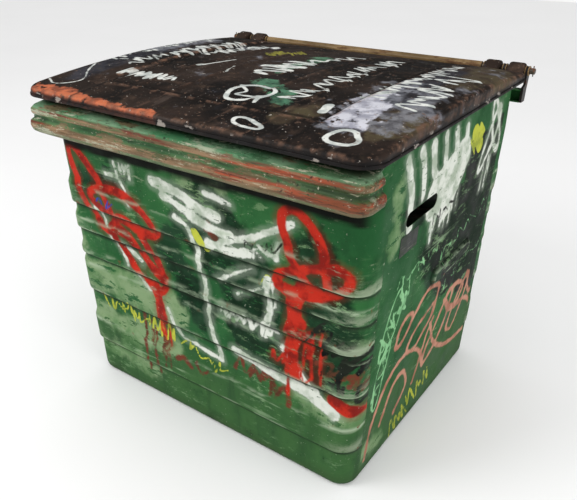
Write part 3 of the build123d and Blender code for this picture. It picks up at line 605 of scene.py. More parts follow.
def paint_wall(piece, axis, strokes):
    """Stores a paint field for each colour, where edges stand out or wear, where they dip and take painted
    shade with dirt, and where the rail casts a painted shadow.

    The wall's length runs along axis 0 (front and rear) or 1 (sides).
    """
    points = vertices_of(piece)
    places = points[:, [axis, 2]]
    normals = np.zeros(points.size)
    piece.data.vertices.foreach_get("normal", normals)
    normals = normals.reshape(-1, 3)
    turned = normals[:, 0] * points[:, 0] / TUB_TOP_X**2 + normals[:, 1] * points[:, 1] / TUB_TOP_Y**2
    outside = turned > 0
    for colour, marks in strokes.items():
        store(piece, colour, field(places, marks) * outside)
    ridge = np.zeros(len(points))
    # groove: painted shade under the swage steps and round the side swage, with dirt
    groove_dirt_and_shade = np.zeros(len(points))
    if axis == 0:
        for bottom, top, proud in SWAGES:
            ridge += hump(points[:, 2], bottom + STEP, 0.004) + 0.7 * hump(points[:, 2], top, 0.006)
            groove_dirt_and_shade += hump(points[:, 2], bottom - 0.003, 0.006)
    else:
        gap = swage_gap(points[:, 1], points[:, 2])
        ridge += hump(gap, -0.010, 0.004)
        groove_dirt_and_shade += hump(gap, 0.002, 0.005)
    store(piece, "ridge", ridge * (1 + soft_step(0.40, 0.52, np.abs(points[:, 0])) * (axis == 0)))
    store(piece, "groove_dirt_and_shade", groove_dirt_and_shade)
    store(piece, "inside", ~outside)
    worn = sum(hump(points[:, 2], bottom + 0.020, 0.018) for bottom, _, _ in SWAGES) * (axis == 0)
    store(piece, "worn", worn * soft_step(0.44, 0.57, np.abs(points[:, 0])) * outside)
    # shade: painted shadow under the rail, near black on the front wall
    shade = soft_step(*SHADOW_Z, points[:, 2] - 0.006 * lumps(points, 0.05, 9))
    shade *= 1 - soft_step(*SHADOW_X, np.abs(points[:, 0]))
    store(piece, "shade", shade * outside * (points[:, 1] < -0.45))


paint_wall(front_panel, 0, FRONT_PAINT)
paint_wall(rear_panel, 0, REAR_PAINT)
paint_wall(right_panel, 1, SIDE_PAINT)
paint_wall(left_panel, 1, LEFT_PAINT)


# ---- comb rail ----
def rail_profile(step=0.0028):
    """Points along the rail's section: height, nose, half length, corner radius and outward slope."""
    knots = np.array(RAIL_LEVELS)
    gaps = np.hypot(np.diff(knots[:, 0]), np.diff(knots[:, 1]))
    run = np.concatenate([[0], np.cumsum(gaps)])
    fine = np.arange(0, run[-1], 0.0004)
    values = np.stack([np.interp(fine, run, knots[:, k]) for k in range(4)], 1)
    kernel = np.hanning(21)
    padded = np.pad(values, ((10, 10), (0, 0)), mode="reflect", reflect_type="odd")
    values = np.stack([np.convolve(padded[:, k], kernel / kernel.sum(), mode="valid") for k in range(4)], 1)
    along = np.gradient(values[:, :2], axis=0)
    along /= np.linalg.norm(along, axis=1)[:, None]
    values = np.hstack([values, along])
    at = np.linspace(0, len(values) - 1, int(run[-1] / step)).astype(int)
    return values[at]


def comb_rail():
    """The lifting rail as one closed sheet, with waves and knocks."""
    outer, inner = [], []
    for z, nose, half_length, corner, rise, out in rail_profile():
        x, y, u, v = end_path(half_length, nose, corner, RAIL_END_Y, columns=200, arc=11, straight=5)
        points = np.stack([x, y, np.full(len(x), z)], 1)
        normal = np.stack([u * rise, v * rise, np.full(len(x), -out)], 1)
        waves = 0.0011 * lumps(points * (1, 1, 0.4), 0.11, 5) + 0.0005 * lumps(points, 0.035, 6)
        for place, width, depth in RAIL_KNOCKS:
            waves -= depth * hump(x, place, width) * hump(z, RAIL_KNOCK_Z, 0.016)
        waves *= 1 - soft_step(1.044, 1.054, z)
        points = points + normal * waves[:, None]
        outer.append(points)
        inner.append(points - normal * RAIL_SHEET)
    piece = new_object("lifting_rail", *shell_mesh(np.array(outer), np.array(inner)))
    points = vertices_of(piece)
    low, high = hump(points[:, 2], 0.988, 0.010), hump(points[:, 2], 1.031, 0.008)
    store(piece, "ridge", low + 0.8 * high)
    # groove: painted shade between the rail's ridges and along its lower edge, with dirt
    store(piece, "groove_dirt_and_shade", hump(points[:, 2], 1.011, 0.006) + hump(points[:, 2], 0.962, 0.004))
    return piece


lifting_rail = comb_rail()


# ---- lid ----
crown = np.poly1d(np.polyfit(*zip(*LID_CROWN), 2))


def lid_relief(x, y):
    """Raised margins, lengthwise ribs and the double crease near the front, over the plain crown."""
    wide = np.abs(x)
    margin = plateau(wide, *MARGIN_X) * plateau(y, *MARGIN_Y)
    field_share = (1 - soft_step(*FIELD_X, wide)) * plateau(y, *FIELD_Y)
    ribs = sum(hump(wide, rib, 0.0075) for rib in RIB_X) * RIB_RAISE
    ribs += SWELL * (hump(wide, SWELL_X, 0.035) + hump(x, 0.0, 0.06))
    creases = RIB_RAISE * hump(y, CREASE_Y[0], CREASE_WIDTH)
    creases -= GUTTER_DEPTH * hump(y, CREASE_Y[1], CREASE_WIDTH)
    creases *= 1 - soft_step(*CREASE_END, wide)
    gutter = GUTTER_DEPTH * hump(wide, GUTTER_X, 0.007) * plateau(y, (-0.420, -0.400), FIELD_Y[1])
    flat = np.stack([x, y, 0 * x], -1).reshape(-1, 3)
    edge = np.minimum(LID_X - wide, np.minimum(y - LID_FRONT, LID_REAR - y))
    warp = (0.0014 * lumps(flat, 0.24, 7) + 0.0006 * lumps(flat, 0.07, 8)).reshape(np.shape(x))
    warp *= soft_step(0.012, 0.060, edge)
    return MARGIN_RAISE * margin + ribs * field_share + creases - gutter + warp


def lid_top(x, y):
    droop = DROOP * soft_step(*DROOP_X, np.abs(x)) * (1 - soft_step(0.40, 0.46, y))
    return crown(y) + lid_relief(x, y) - droop


SIDE_STEPS, END_STEPS, ARC_STEPS = 140, 168, 12


def lid_outline(inset):
    """The lid's plan outline moved inwards, anticlockwise from the right of the front edge."""
    shrink = max(0.0, 1 - inset / LID_CORNER)
    front, rear = LID_CORNER * shrink, LID_REAR_CORNER * shrink
    x1 = LID_X - inset
    y0, y1 = LID_FRONT + inset, LID_REAR - inset
    run = np.linspace(0, 1, SIDE_STEPS)[:, None]
    walk = np.linspace(0, 1, END_STEPS)[:, None]

    def line(a, b, steps):
        return np.array(a) * (1 - steps) + np.array(b) * steps

    def arc(cx, cy, radius, start):
        turn = np.radians(start + np.linspace(0, 90, ARC_STEPS + 2)[1:-1])
        return np.stack([cx + radius * np.cos(turn), cy + radius * np.sin(turn)], 1)

    return np.vstack([
        line((x1, y0 + front), (x1, y1 - rear), run),
        arc(x1 - rear, y1 - rear, rear, 0),
        line((x1 - rear, y1), (-x1 + rear, y1), walk),
        arc(-x1 + rear, y1 - rear, rear, 90),
        line((-x1, y1 - rear), (-x1, y0 + front), run),
        arc(-x1 + front, y0 + front, front, 180),
        line((-x1 + front, y0), (x1 - front, y0), walk),
        arc(x1 - front, y0 + front, front, 270),
    ])


def lid_mesh():
    """One closed moulding: bead, skirt, rounded edge, crown, and the same again inside."""
    quarter = np.radians(np.linspace(0, 90, 7))
    bead_top = LID_SKIRT + LID_BEAD
    outside = [  # inset, height, and whether the height is from the crown
        (0.0012, LID_SKIRT, 0),
        (0.0, LID_SKIRT + 0.0015, 0),
        (0.0, LID_SKIRT + 0.005, 0),
        (0.0, bead_top - 0.002, 0),
        (0.0012, bead_top, 0),
        (LID_BEAD_OUT, bead_top + 0.0006, 0),
    ]
    for q in quarter:
        outside.append((LID_BEAD_OUT + LID_EDGE * (1 - math.cos(q)), -LID_EDGE * (1 - math.sin(q)), 1))
    first = LID_BEAD_OUT + LID_EDGE
    rings = np.linspace(first, LID_CORNER, 10)[1:]
    outside += [(inset, 0.0, 1) for inset in rings]
    back = LID_BEAD_OUT + LID_WALL
    tight = LID_EDGE - LID_WALL
    inside = [(back, LID_SKIRT, 0), (back, LID_SKIRT + 0.008, 0)]
    for q in quarter:
        inside.append((back + tight * (1 - math.cos(q)), -LID_WALL - tight * (1 - math.sin(q)), 1))
    inside += [(inset, -LID_WALL, 1) for inset in rings]

    def ring(inset, height, on_top):
        plan = lid_outline(inset)
        if on_top:
            return np.column_stack([plan, lid_top(plan[:, 0], plan[:, 1]) + height])
        rear = soft_step(0.462, 0.472, plan[:, 1])
        if inset < LID_BEAD_OUT:
            plan = plan + (lid_outline(LID_BEAD_OUT) - plan) * rear[:, None]
        z = np.maximum(height, LID_SKIRT + (LID_REAR_SKIRT - LID_SKIRT) * rear)
        return np.column_stack([plan, z])

    outer = np.array([ring(*row) for row in outside])
    inner = np.array([ring(*row) for row in inside])
    loop_size = outer.shape[1]
    inner_start = outer.shape[0] * loop_size
    vertices = [outer.reshape(-1, 3), inner.reshape(-1, 3)]
    faces = [
        grid_faces(len(outside), loop_size, 0, around=True),
        grid_faces(len(inside), loop_size, inner_start, around=True, flip=True),
    ]
    lip = np.arange(loop_size)
    following = np.roll(lip, -1)
    faces.append(np.stack([following, lip, lip + inner_start, following + inner_start], 1))
    start = inner_start + len(inside) * loop_size
    x1 = LID_X - LID_CORNER
    xs = np.linspace(-x1, x1, END_STEPS)
    ys = np.linspace(LID_FRONT + LID_CORNER, LID_REAR - LID_CORNER, SIDE_STEPS)
    x, y = np.meshgrid(xs, ys)
    for depth, flip in ((0.0, False), (-LID_WALL, True)):
        vertices.append(np.stack([x, y, lid_top(x, y) + depth], -1).reshape(-1, 3))
        faces.append(grid_faces(SIDE_STEPS, END_STEPS, start, flip=flip))
        start += SIDE_STEPS * END_STEPS
    return np.vstack(vertices), np.vstack(faces)


lid = new_object("lid_moulding", *lid_mesh(), sharp=50.0)
for side in (-1, 1):
    left, right = side * NOTCH_X - NOTCH[0] / 2, side * NOTCH_X + NOTCH[0] / 2
    front, back = LID_REAR - NOTCH[1], LID_REAR + 0.02
    notch = [(left, front), (right, front), (right, back), (left, back)]
    cut(lid, *prism(notch, 1.0, 1.2, lambda u, v, w: (u, v, w)))

LID_PAINT = {
    "white": (
        each(scrawl, ((-420, -310), (-210, -310), 85, 9, 14, 201),
            ((-470, -240), (-400, 300), 110, 15, 9, 202), ((-370, 20), (-300, 300), 90, 8, 11, 203),
            ((-340, 240), (-260, 300), 60, 4, 16, 212), ((-580, -220), (-570, 280), 100, 11, 8, 204),
            ((225, -310), (235, 340), 95, 14, 11, 205), ((415, -200), (440, 360), 85, 16, 10, 206),
            ((530, -240), (530, 160), 120, 8, 12, 207), ((0, -140), (10, 100), 110, 6, 14, 208),
            ((20, 120), (90, 310), 60, 5, 10, 209))
        + each(stroke,
            (6, (-600, -470), (-530, -500), (-480, -440), (-550, -340), (-600, -240), (-520, -200)),
            (10, (20, -260), (70, -300), (60, -335), (130, -335), (150, -370)),
            (28, (355, -350), (345, -300)), (30, (-70, -20), (20, 10), (50, 20)),
            (8, (-240, -80), (-210, 0), (-260, -140)), (8, (-150, -80), (-120, -160)))
        + each(loop, ((85, -305), (75, 58), 60, 15, 0.08, 21),
            ((225, -502), (50, 22), -15, 12, 0.1, 22), ((490, -475), (42, 40), 20, 15, 0.1, 23))
    ),
    "smear": each(stroke, (120, (445, -375), (440, -270)), (80, (420, -250), (415, -160))),
    "haze": each(stroke, (120, (450, -420), (440, -200), (430, 0)), (100, (550, -360), (550, -100)),
        (50, (-330, 220), (-280, 300)), (80, (-560, 0), (-530, 260))),
    "mint": each(stroke, (50, (0, 0), (20, 120), (10, 220)),
        (70, (70, -200), (160, -260), (220, -330)), (30, (20, 20), (30, -80))),
    "lime": scrawl((-200, 160), (-100, 270), 90, 8, 9, 211),
    "orange": each(stroke, (44, (-615, -558), (-470, -550), (-360, -552), (-240, -556)),
        (36, (-580, -535), (-460, -530), (-360, -545)), (34, (-280, -560), (-160, -562), (-60, -566))),
    "slate": each(stroke, (100, (-520, -420), (-530, 100)), (110, (500, -200), (480, 80), (470, 240))),
    "tan": each(stroke, (100, (570, 50), (560, 300), (500, 420)), (90, (560, -420), (570, -250)),
        (50, (280, -450), (330, -300))),
}

points = vertices_of(lid)
for colour, marks in LID_PAINT.items():
    store(lid, colour, field(points[:, :2], marks))
wide = np.abs(points[:, 0])
# crease lines get the pale ridge coat: painted highlight along the creases, wear at the edges and rib tops
crease = hump(points[:, 1], CREASE_Y[0], CREASE_WIDTH) * (wide < 0.40)
crease += 1.4 * hump(points[:, 1], -0.410, 0.004) * (wide < 0.39)
crease += 1.3 * hump(wide, 0.403, 0.006) * (points[:, 1] > -0.40)
inset = np.minimum(LID_X - wide, np.minimum(points[:, 1] - LID_FRONT, LID_REAR - points[:, 1]))
rib_tops = sum(hump(wide, rib, 0.005) for rib in RIB_X)
store(lid, "ridge", crease + 0.8 * hump(inset, 0.008, 0.006) + 0.5 * rib_tops)
# groove: painted shade in the lid's gutters and behind the front crease, with dirt
store(lid, "groove_dirt_and_shade", hump(wide, GUTTER_X, 0.006) + hump(points[:, 1], -0.398, 0.004) * (wide < 0.39))


# ---- hinge knuckles: rounded bosses with an arm that runs into the lid ----
def knuckle_outline(count=64):
    """Side view (Y, Z) of a knuckle, round the rod and drawn out to the lid."""
    turn = np.linspace(0, 2 * math.pi, count, endpoint=False)
    ys = AXIS_Y + KNUCKLE_RADIUS * np.cos(turn)
    zs = AXIS_Z + KNUCKLE_RADIUS * np.sin(turn)
    arm = soft_step(0.15, 1.0, -np.cos(turn))
    ys -= arm * KNUCKLE_ARM
    zs = AXIS_Z - 0.002 + (zs - AXIS_Z + 0.002) * (1 - 0.55 * arm)
    return np.stack([ys, zs], 1), turn


def knuckle(centre):
    """One knuckle, bored through and rounded at both faces."""
    outline, turn = knuckle_outline()
    bore = np.stack([AXIS_Y + KNUCKLE_BORE * np.cos(turn), AXIS_Z + KNUCKLE_BORE * np.sin(turn)], 1)
    middle = np.array([AXIS_Y - 0.006, AXIS_Z])
    half = KNUCKLE_WIDTH / 2
    rings = []
    for depth, shrink in ((0.0, 0.20), (0.0012, 0.11), (0.004, 0.04), (0.008, 0.0)):
        rings.append((-half + depth, middle + (outline - middle) * (1 - shrink)))
    rings += [(x, outline) for x in np.linspace(-half + 0.011, half - 0.011, 6)]
    rings += [(-x, ring) for x, ring in rings[3::-1]]
    rings += [(half, bore), (-half, bore)]
    vertices = np.vstack([np.column_stack([np.full(len(r), centre + x), r]) for x, r in rings])
    count = len(turn)
    faces = grid_faces(len(rings), count, around=True)
    last = (len(rings) - 1) * count
    k = np.arange(count)
    closing = np.stack([last + k, last + (k + 1) % count, (k + 1) % count, k], 1)
    return vertices, np.vstack([faces, closing])


knuckle_vertices, knuckle_faces, start = [], [], 0
for side in (-1, 1):
    for centre in KNUCKLE_X:
        vertices, faces = knuckle(side * centre)
        knuckle_vertices.append(vertices)
        knuckle_faces.append(faces + start)
        start += len(vertices)
knuckles = new_object("lid_knuckles", np.vstack(knuckle_vertices), np.vstack(knuckle_faces))


# ---- materials ----
def tone(red, green, blue):
    """A linear colour from ordinary 0-255 screen values."""
    values = [c / 255 for c in (red, green, blue)]
    return (*(c / 12.92 if c <= 0.04045 else ((c + 0.055) / 1.055) ** 2.4 for c in values), 1.0)


class Look:
    """A material's nodes, with short calls for the ones it uses and the colour laid so far.

    A colour is a socket, three screen values as for tone, or a linear colour of four values.
    """

    def __init__(self, name):
        self.material = bpy.data.materials.new(name)
        self.material.use_nodes = True
        self.tree = self.material.node_tree
        self.place = self.node("TexCoord", {}, "Object")
        self.colour = None

    def link(self, node, inputs):
        for key, value in inputs.items():
            if isinstance(value, bpy.types.NodeSocket):
                self.tree.links.new(value, node.inputs[key])
            elif value is not None:
                node.inputs[key].default_value = value

    def node(self, kind, inputs, output=0, **settings):
        """Makes a node, sets it up and returns one of its outputs."""
        made = self.tree.nodes.new("ShaderNode" + kind)
        for key, value in settings.items():
            setattr(made, key, value)
        self.link(made, inputs)
        return made.outputs[output]

    def noise(self, scale, seed, detail=5, rough=0.55, stretch=(1, 1, 1)):
        """Noise from about 0 to 1; a small stretch factor draws it out along that axis."""
        shift = (seed * 3.7, seed * 5.1, seed * 2.3)
        place = self.node("VectorMath", {0: self.place, 1: stretch, 2: shift}, operation="MULTIPLY_ADD")
        inputs = {"Vector": place, "Scale": scale, "Detail": detail, "Roughness": rough}
        return self.node("TexNoise", inputs, "Fac")

    def maths(self, operation, *values):
        return self.node("Math", dict(enumerate(values)), operation=operation)

    def step(self, value, low, high, out_low=0.0, out_high=1.0):
        """A smooth change from out_low to out_high as value goes from low to high."""
        inputs = {"Value": value, "From Min": low, "From Max": high, "To Min": out_low, "To Max": out_high}
        return self.node("MapRange", inputs, "Result", interpolation_type="SMOOTHSTEP")

    def mix(self, factor, a, b):
        a, b = (tone(*c) if isinstance(c, tuple) and len(c) == 3 else c for c in (a, b))
        return self.node("Mix", {0: factor, 6: a, 7: b}, 2, data_type="RGBA")

    def blend(self, value, low, high, a, b):
        """Colour a turning into colour b as value goes from low to high."""
        return self.mix(self.step(value, low, high), a, b)

    def coat(self, paint, *shares):
        """Lays paint over the colour, as thick as the product of the shares."""
        total = shares[0]
        for share in shares[1:]:
            total = self.maths("MULTIPLY", total, share)
        self.colour = self.mix(total, self.colour, paint)

    def patch(self, paint, value, low, high, most=1.0):
        """Lays paint where value passes from low to high."""
        self.coat(paint, self.step(value, low, high, 0.0, most))

    def attribute(self, name):
        return self.node("Attribute", {}, "Fac", attribute_name=name)

    def axis(self, letter):
        return self.node("SeparateXYZ", {0: self.place}, letter)

    def stroke_mask(self, name, soft, ragged, scale, cover, seed):
        """1 where a stroke lies; ragged moves its edge and cover wears holes in it."""
        depth = self.attribute(name)
        for shake in (self.noise(scale, seed), self.noise(scale * 0.3, seed + 2)):
            depth = self.maths("ADD", depth, self.maths("MULTIPLY_ADD", shake, 2 * ragged, -ragged))
        mask = self.step(depth, REACH - soft, REACH + soft)
        bare = 0.8 * cover - 0.06
        dry = self.noise(scale * 2, seed + 5, rough=0.7, stretch=DRY_BRUSH)
        return self.maths("MULTIPLY", mask, self.step(dry, bare, bare + 0.05, 1.0, 0.0))

    def spray(self, layer, tones, mottle, low, high, strength=1.0):
        """Lays one layer of strokes, mottled between its two tones."""
        main, second, *edge = tones[layer]
        mask = self.stroke_mask(layer, *edge, seed=len(layer))
        self.coat(self.blend(mottle, low, high, main, second), mask, strength)

    def finish(self, rough, bumps, metal=0.0, gloss=0.22):
        """Links the colour, the roughness and a chain of (height, strength, distance) bumps."""
        normal = None
        for height, strength, distance in bumps:
            inputs = {"Strength": strength, "Distance": distance, "Height": height, "Normal": normal}
            normal = self.node("Bump", inputs, "Normal")
        inputs = {"Base Color": self.colour, "Roughness": rough, "Metallic": metal}
        inputs.update({"Specular IOR Level": gloss, "Normal": normal})
        self.link(self.tree.nodes["Principled BSDF"], inputs)
        return self.material


STROKE_TONES = {  # colour, second colour, edge softness, raggedness, noise scale, cover
    "faded": ((122, 146, 106), (88, 122, 78), 0.020, 0.055, 18, 0.78),
    "bottle": ((18, 52, 30), (10, 32, 18), 0.018, 0.060, 16, 0.80),
    "night": ((5, 12, 7), (12, 30, 17), 0.007, 0.060, 17, 0.90),
    "pale": ((132, 186, 134), (104, 158, 108), 0.0015, 0.004, 60, 0.92),
    "lime": ((176, 182, 62), (140, 150, 50), 0.0014, 0.003, 70, 0.90),
    "white": ((206, 210, 200), (158, 170, 152), 0.0030, 0.009, 36, 0.84),
    "salmon": ((186, 132, 110), (156, 104, 84), 0.004, 0.007, 40, 0.90),
    "rust": ((104, 50, 34), (80, 48, 32), 0.005, 0.010, 60, 0.80),
    "red": ((178, 40, 24), (122, 24, 16), 0.0040, 0.006, 30, 0.92),
    "black": ((12, 14, 12), (26, 32, 24), 0.002, 0.005, 60, 0.90),
    "blue": ((44, 70, 168), (36, 52, 120), 0.002, 0.004, 60, 0.93),
}


def tub_paint(name, colours):
    """Old green enamel, faded and dirty by turns, chipped at its ridges, with spray paint on it, painted
    shade in its grooves and a painted shadow under the rail.
    """
    look = Look(name)
    broad = look.noise(2.6, 1, detail=6)
    cloudy = look.noise(9, 2, detail=7, rough=0.62)
    streaks = look.noise(14, 3, detail=5, stretch=(1, 1, 0.10))
    scrapes = look.noise(26, 4, detail=6, rough=0.7, stretch=(0.06, 0.06, 1))
    specks = look.noise(150, 5, detail=3)
    chipped = look.noise(38, 6, stretch=(0.35, 0.35, 1))
    scuffs = look.noise(34, 62, detail=8, rough=0.75, stretch=(0.35, 0.35, 1))
    rubbed = look.noise(44, 63, detail=8, rough=0.75, stretch=(0.25, 0.25, 1))
    ridge, height = look.attribute("ridge"), look.axis("Z")

    look.colour = look.blend(broad, 0.36, 0.64, (30, 80, 42), (46, 98, 52))
    look.patch(look.blend(cloudy, 0.35, 0.65, (46, 84, 44), (60, 98, 54)), height, 0.34, 0.22)
    look.patch((24, 62, 34), cloudy, 0.52, 0.74, 0.65)
    look.patch((24, 52, 30), streaks, 0.52, 0.72, 0.45)
    for layer in ("faded", "bottle", "night"):
        if layer in colours:
            look.spray(layer, STROKE_TONES, cloudy, 0.4, 0.6, 0.94)
    for layer, share in (("red", 0.30), ("white", 0.26)):
        if layer in colours:
            mist = look.maths("MULTIPLY_ADD", look.noise(30, 61, detail=6), 0.03, -0.015)
            mist = look.maths("ADD", look.attribute(layer), mist)
            look.patch(STROKE_TONES[layer][1], mist, 0.018, REACH, share)
    scuffed = look.step(scuffs, 0.55, 0.62, 0.0, 0.75)
    look.coat((112, 144, 102), scuffed, look.step(broad, 0.42, 0.58))
    scraped = look.step(scrapes, 0.60, 0.66, 0.0, 0.55)
    look.coat((142, 168, 132), scraped, look.step(broad, 0.42, 0.6))
    for layer in ("pale", "rust", "lime", "white", "salmon", "red", "black", "blue"):
        if layer in colours:
            look.spray(layer, STROKE_TONES, look.noise(18, 9, detail=4), 0.42, 0.62)
    under = look.blend(cloudy, 0.4, 0.6, (40, 84, 48), (120, 138, 108))
    look.patch(under, rubbed, 0.60, 0.66, 0.7)
    chips = look.maths("MULTIPLY", ridge, look.step(chipped, 0.46, 0.60))
    look.coat((150, 168, 140), chips, 0.70)
    look.coat((138, 150, 126), look.attribute("worn"), look.step(scuffs, 0.42, 0.54), 0.75)
    rusty = look.step(look.noise(24, 7, detail=6), 0.60, 0.68)
    look.coat((104, 62, 38), ridge, rusty, 0.8)
    # painted shade and dirt in the grooves: dark green under the swage steps
    look.coat((20, 34, 20), look.attribute("groove_dirt_and_shade"), look.step(cloudy, 0.25, 0.6, 0.45, 0.95))
    look.patch((168, 178, 156), specks, 0.70, 0.74, 0.65)
    look.patch((30, 44, 28), look.noise(120, 8, detail=2), 0.71, 0.75, 0.7)
    # painted shadow under the rail, with some dirt
    look.coat((8, 11, 6), look.attribute("shade"), look.step(cloudy, 0.2, 0.5, 0.85, 0.99))
    sludge = look.blend(cloudy, 0.4, 0.6, (24, 28, 18), (58, 50, 34))
    depth, runs = look.step(height, 1.0, 0.1, 0.25, 0.9), look.step(streaks, 0.30, 0.56, 0.35, 1.0)
    look.coat(sludge, look.attribute("inside"), depth, runs)
    look.coat((48, 58, 36), look.step(height, 0.07, 0.0, 0.0, 0.5), look.step(cloudy, 0.3, 0.6))
    bumps = [
        (broad, 0.25, 0.004), (scrapes, 0.22, 0.0012), (specks, 0.18, 0.0006), (chips, 0.35, 0.0006),
    ]
    return look.finish(look.step(cloudy, 0.3, 0.7, 0.46, 0.72), bumps, gloss=0.08)


def rail_paint():
    """Pale green enamel rubbed through to primer and rust along the ridges, with painted shade in its
    grooves and under the lid.
    """
    look = Look("rail_paint_worn")
    drawn = look.noise(20, 2, detail=7, rough=0.68, stretch=(0.10, 0.5, 1))
    fine = look.noise(60, 3, detail=6, rough=0.7, stretch=(0.08, 0.4, 1))
    specks = look.noise(130, 4, detail=3)
    rusty = look.noise(30, 7, detail=7, rough=0.7, stretch=(0.07, 0.5, 1))
    scrapes = look.noise(24, 9, detail=8, rough=0.75, stretch=(0.16, 0.5, 1))
    patches = look.noise(17, 10, detail=8, rough=0.7, stretch=(0.30, 0.8, 1))
    scratches = look.noise(70, 12, detail=7, rough=0.75, stretch=(0.12, 0.5, 1))
    ridge, along, height = look.attribute("ridge"), look.axis("X"), look.axis("Z")

    broad = look.noise(4, 1, detail=6)
    look.colour = look.blend(broad, 0.38, 0.62, (50, 96, 54), (76, 116, 72))
    mint = look.blend(look.noise(11, 6), 0.36, 0.62, (64, 122, 80), (116, 152, 118))
    look.patch(mint, height, 1.036, 1.047)
    tan = look.blend(fine, 0.40, 0.60, (140, 112, 84), (98, 78, 54))
    look.coat(tan, look.step(ridge, 0.05, 0.5), look.step(drawn, 0.34, 0.46))
    look.patch(tan, patches, 0.52, 0.56, 0.8)
    look.patch((30, 70, 36), patches, 0.44, 0.40, 0.6)
    look.patch((168, 172, 148), scrapes, 0.56, 0.62, 0.75)
    less_rust = look.step(along, -0.45, 0.40, 0.545, 0.475)
    rust = look.step(look.maths("SUBTRACT", rusty, less_rust), 0.0, 0.05)
    rust_tone = look.blend(fine, 0.42, 0.58, (158, 68, 40), (98, 42, 28))
    look.coat(rust_tone, rust, look.step(ridge, 0.03, 0.35), 0.92)
    soot = look.step(along, 0.25, 0.60, 0.0, 0.6)
    look.coat((58, 50, 28), soot, look.step(drawn, 0.62, 0.42))
    lower = look.step(height, 0.985, 0.962)
    look.coat((120, 108, 84), lower, look.step(drawn, 0.3, 0.6, 0.3, 0.9))
    # painted shade and dirt in the rail's grooves
    look.coat((30, 50, 28), look.attribute("groove_dirt_and_shade"), look.step(patches, 0.35, 0.6, 0.9, 0.4))
    # painted shade: the rail's top slope goes near black where the lid's skirt hangs over it
    look.patch((10, 22, 10), height, 1.049, 1.057, 0.9)
    look.patch((44, 40, 28), scratches, 0.58, 0.62, 0.7)
    look.patch((188, 182, 158), scratches, 0.41, 0.37, 0.65)
    look.patch((196, 190, 168), specks, 0.66, 0.72, 0.6)
    look.patch((36, 32, 22), look.noise(90, 8, detail=3), 0.64, 0.70, 0.8)
    bumps = [(drawn, 0.6, 0.0022), (fine, 0.5, 0.0010), (specks, 0.2, 0.0005)]
    return look.finish(look.step(drawn, 0.3, 0.7, 0.45, 0.75), bumps)


LID_TONES = {  # as STROKE_TONES, in the order the layers are laid
    "slate": ((58, 60, 70), (36, 38, 48), 0.020, 0.060, 10, 0.90),
    "tan": ((88, 78, 52), (70, 56, 40), 0.016, 0.070, 14, 0.86),
    "haze": ((132, 134, 142), (80, 82, 90), 0.016, 0.080, 20, 0.76),
    "smear": ((196, 196, 204), (146, 146, 158), 0.006, 0.050, 24, 0.80),
    "mint": ((86, 142, 110), (54, 98, 74), 0.008, 0.040, 26, 0.80),
    "lime": ((150, 146, 44), (112, 108, 36), 0.0014, 0.004, 60, 0.88),
    "white": ((218, 220, 214), (172, 178, 174), 0.0016, 0.0030, 50, 0.90),
    "orange": ((192, 102, 64), (134, 70, 46), 0.005, 0.036, 30, 0.84),
}
THIN_LAYERS = ("slate", "tan", "haze", "mint")


def lid_plastic(name, colours):
    """Dark brown-black moulded plastic, scuffed and dusty, greyed and bare at its edges, with painted shade
    in its grooves and a painted highlight along its creases.
    """
    look = Look(name)
    broad = look.noise(3.2, 11, detail=6)
    cloudy = look.noise(11, 12, detail=7, rough=0.65)
    scuffs = look.noise(22, 13, detail=7, rough=0.7, stretch=(1, 0.14, 1))
    grain = look.noise(420, 14, detail=2)
    specks = look.noise(110, 15, detail=3)
    knocks = look.noise(58, 20, detail=5, rough=0.7)

    look.colour = look.blend(broad, 0.40, 0.60, (22, 16, 13), (52, 38, 30))
    look.patch((80, 60, 46), cloudy, 0.52, 0.72, 0.7)
    look.patch((84, 70, 62), scuffs, 0.56, 0.68, 0.5)
    for layer in LID_TONES:
        if layer in colours:
            strength = 0.70 if layer in THIN_LAYERS else 0.95
            look.spray(layer, LID_TONES, look.noise(24, 19, detail=4), 0.40, 0.62, strength)
    # pale coat on the ridges: wear at the lid's edges and rib tops, a painted highlight along its creases
    wear_and_highlight = look.step(look.noise(30, 16, detail=6), 0.44, 0.62)
    look.coat((126, 92, 72), look.attribute("ridge"), wear_and_highlight, 0.65)
    # painted shade and dirt in the lid's gutters
    look.coat((18, 14, 12), look.attribute("groove_dirt_and_shade"), 0.8)
    look.patch((176, 168, 158), specks, 0.68, 0.72, 0.8)
    look.patch((22, 18, 16), look.noise(75, 17, detail=3), 0.66, 0.72, 0.7)
    look.patch((120, 92, 74), knocks, 0.62, 0.65, 0.55)
    skirt = look.step(look.axis("Z"), 1.100, 1.088)
    splash = look.step(look.noise(46, 18, detail=5, stretch=(0.5, 0.5, 1)), 0.62, 0.66)
    look.coat((12, 9, 9), skirt, 0.92)
    look.coat((150, 142, 134), skirt, splash, 0.8)
    bumps = [
        (cloudy, 0.30, 0.0022), (scuffs, 0.12, 0.0010), (grain, 0.12, 0.0004), (specks, 0.15, 0.0005),
    ]
    return look.finish(look.step(cloudy, 0.3, 0.7, 0.46, 0.72), bumps)


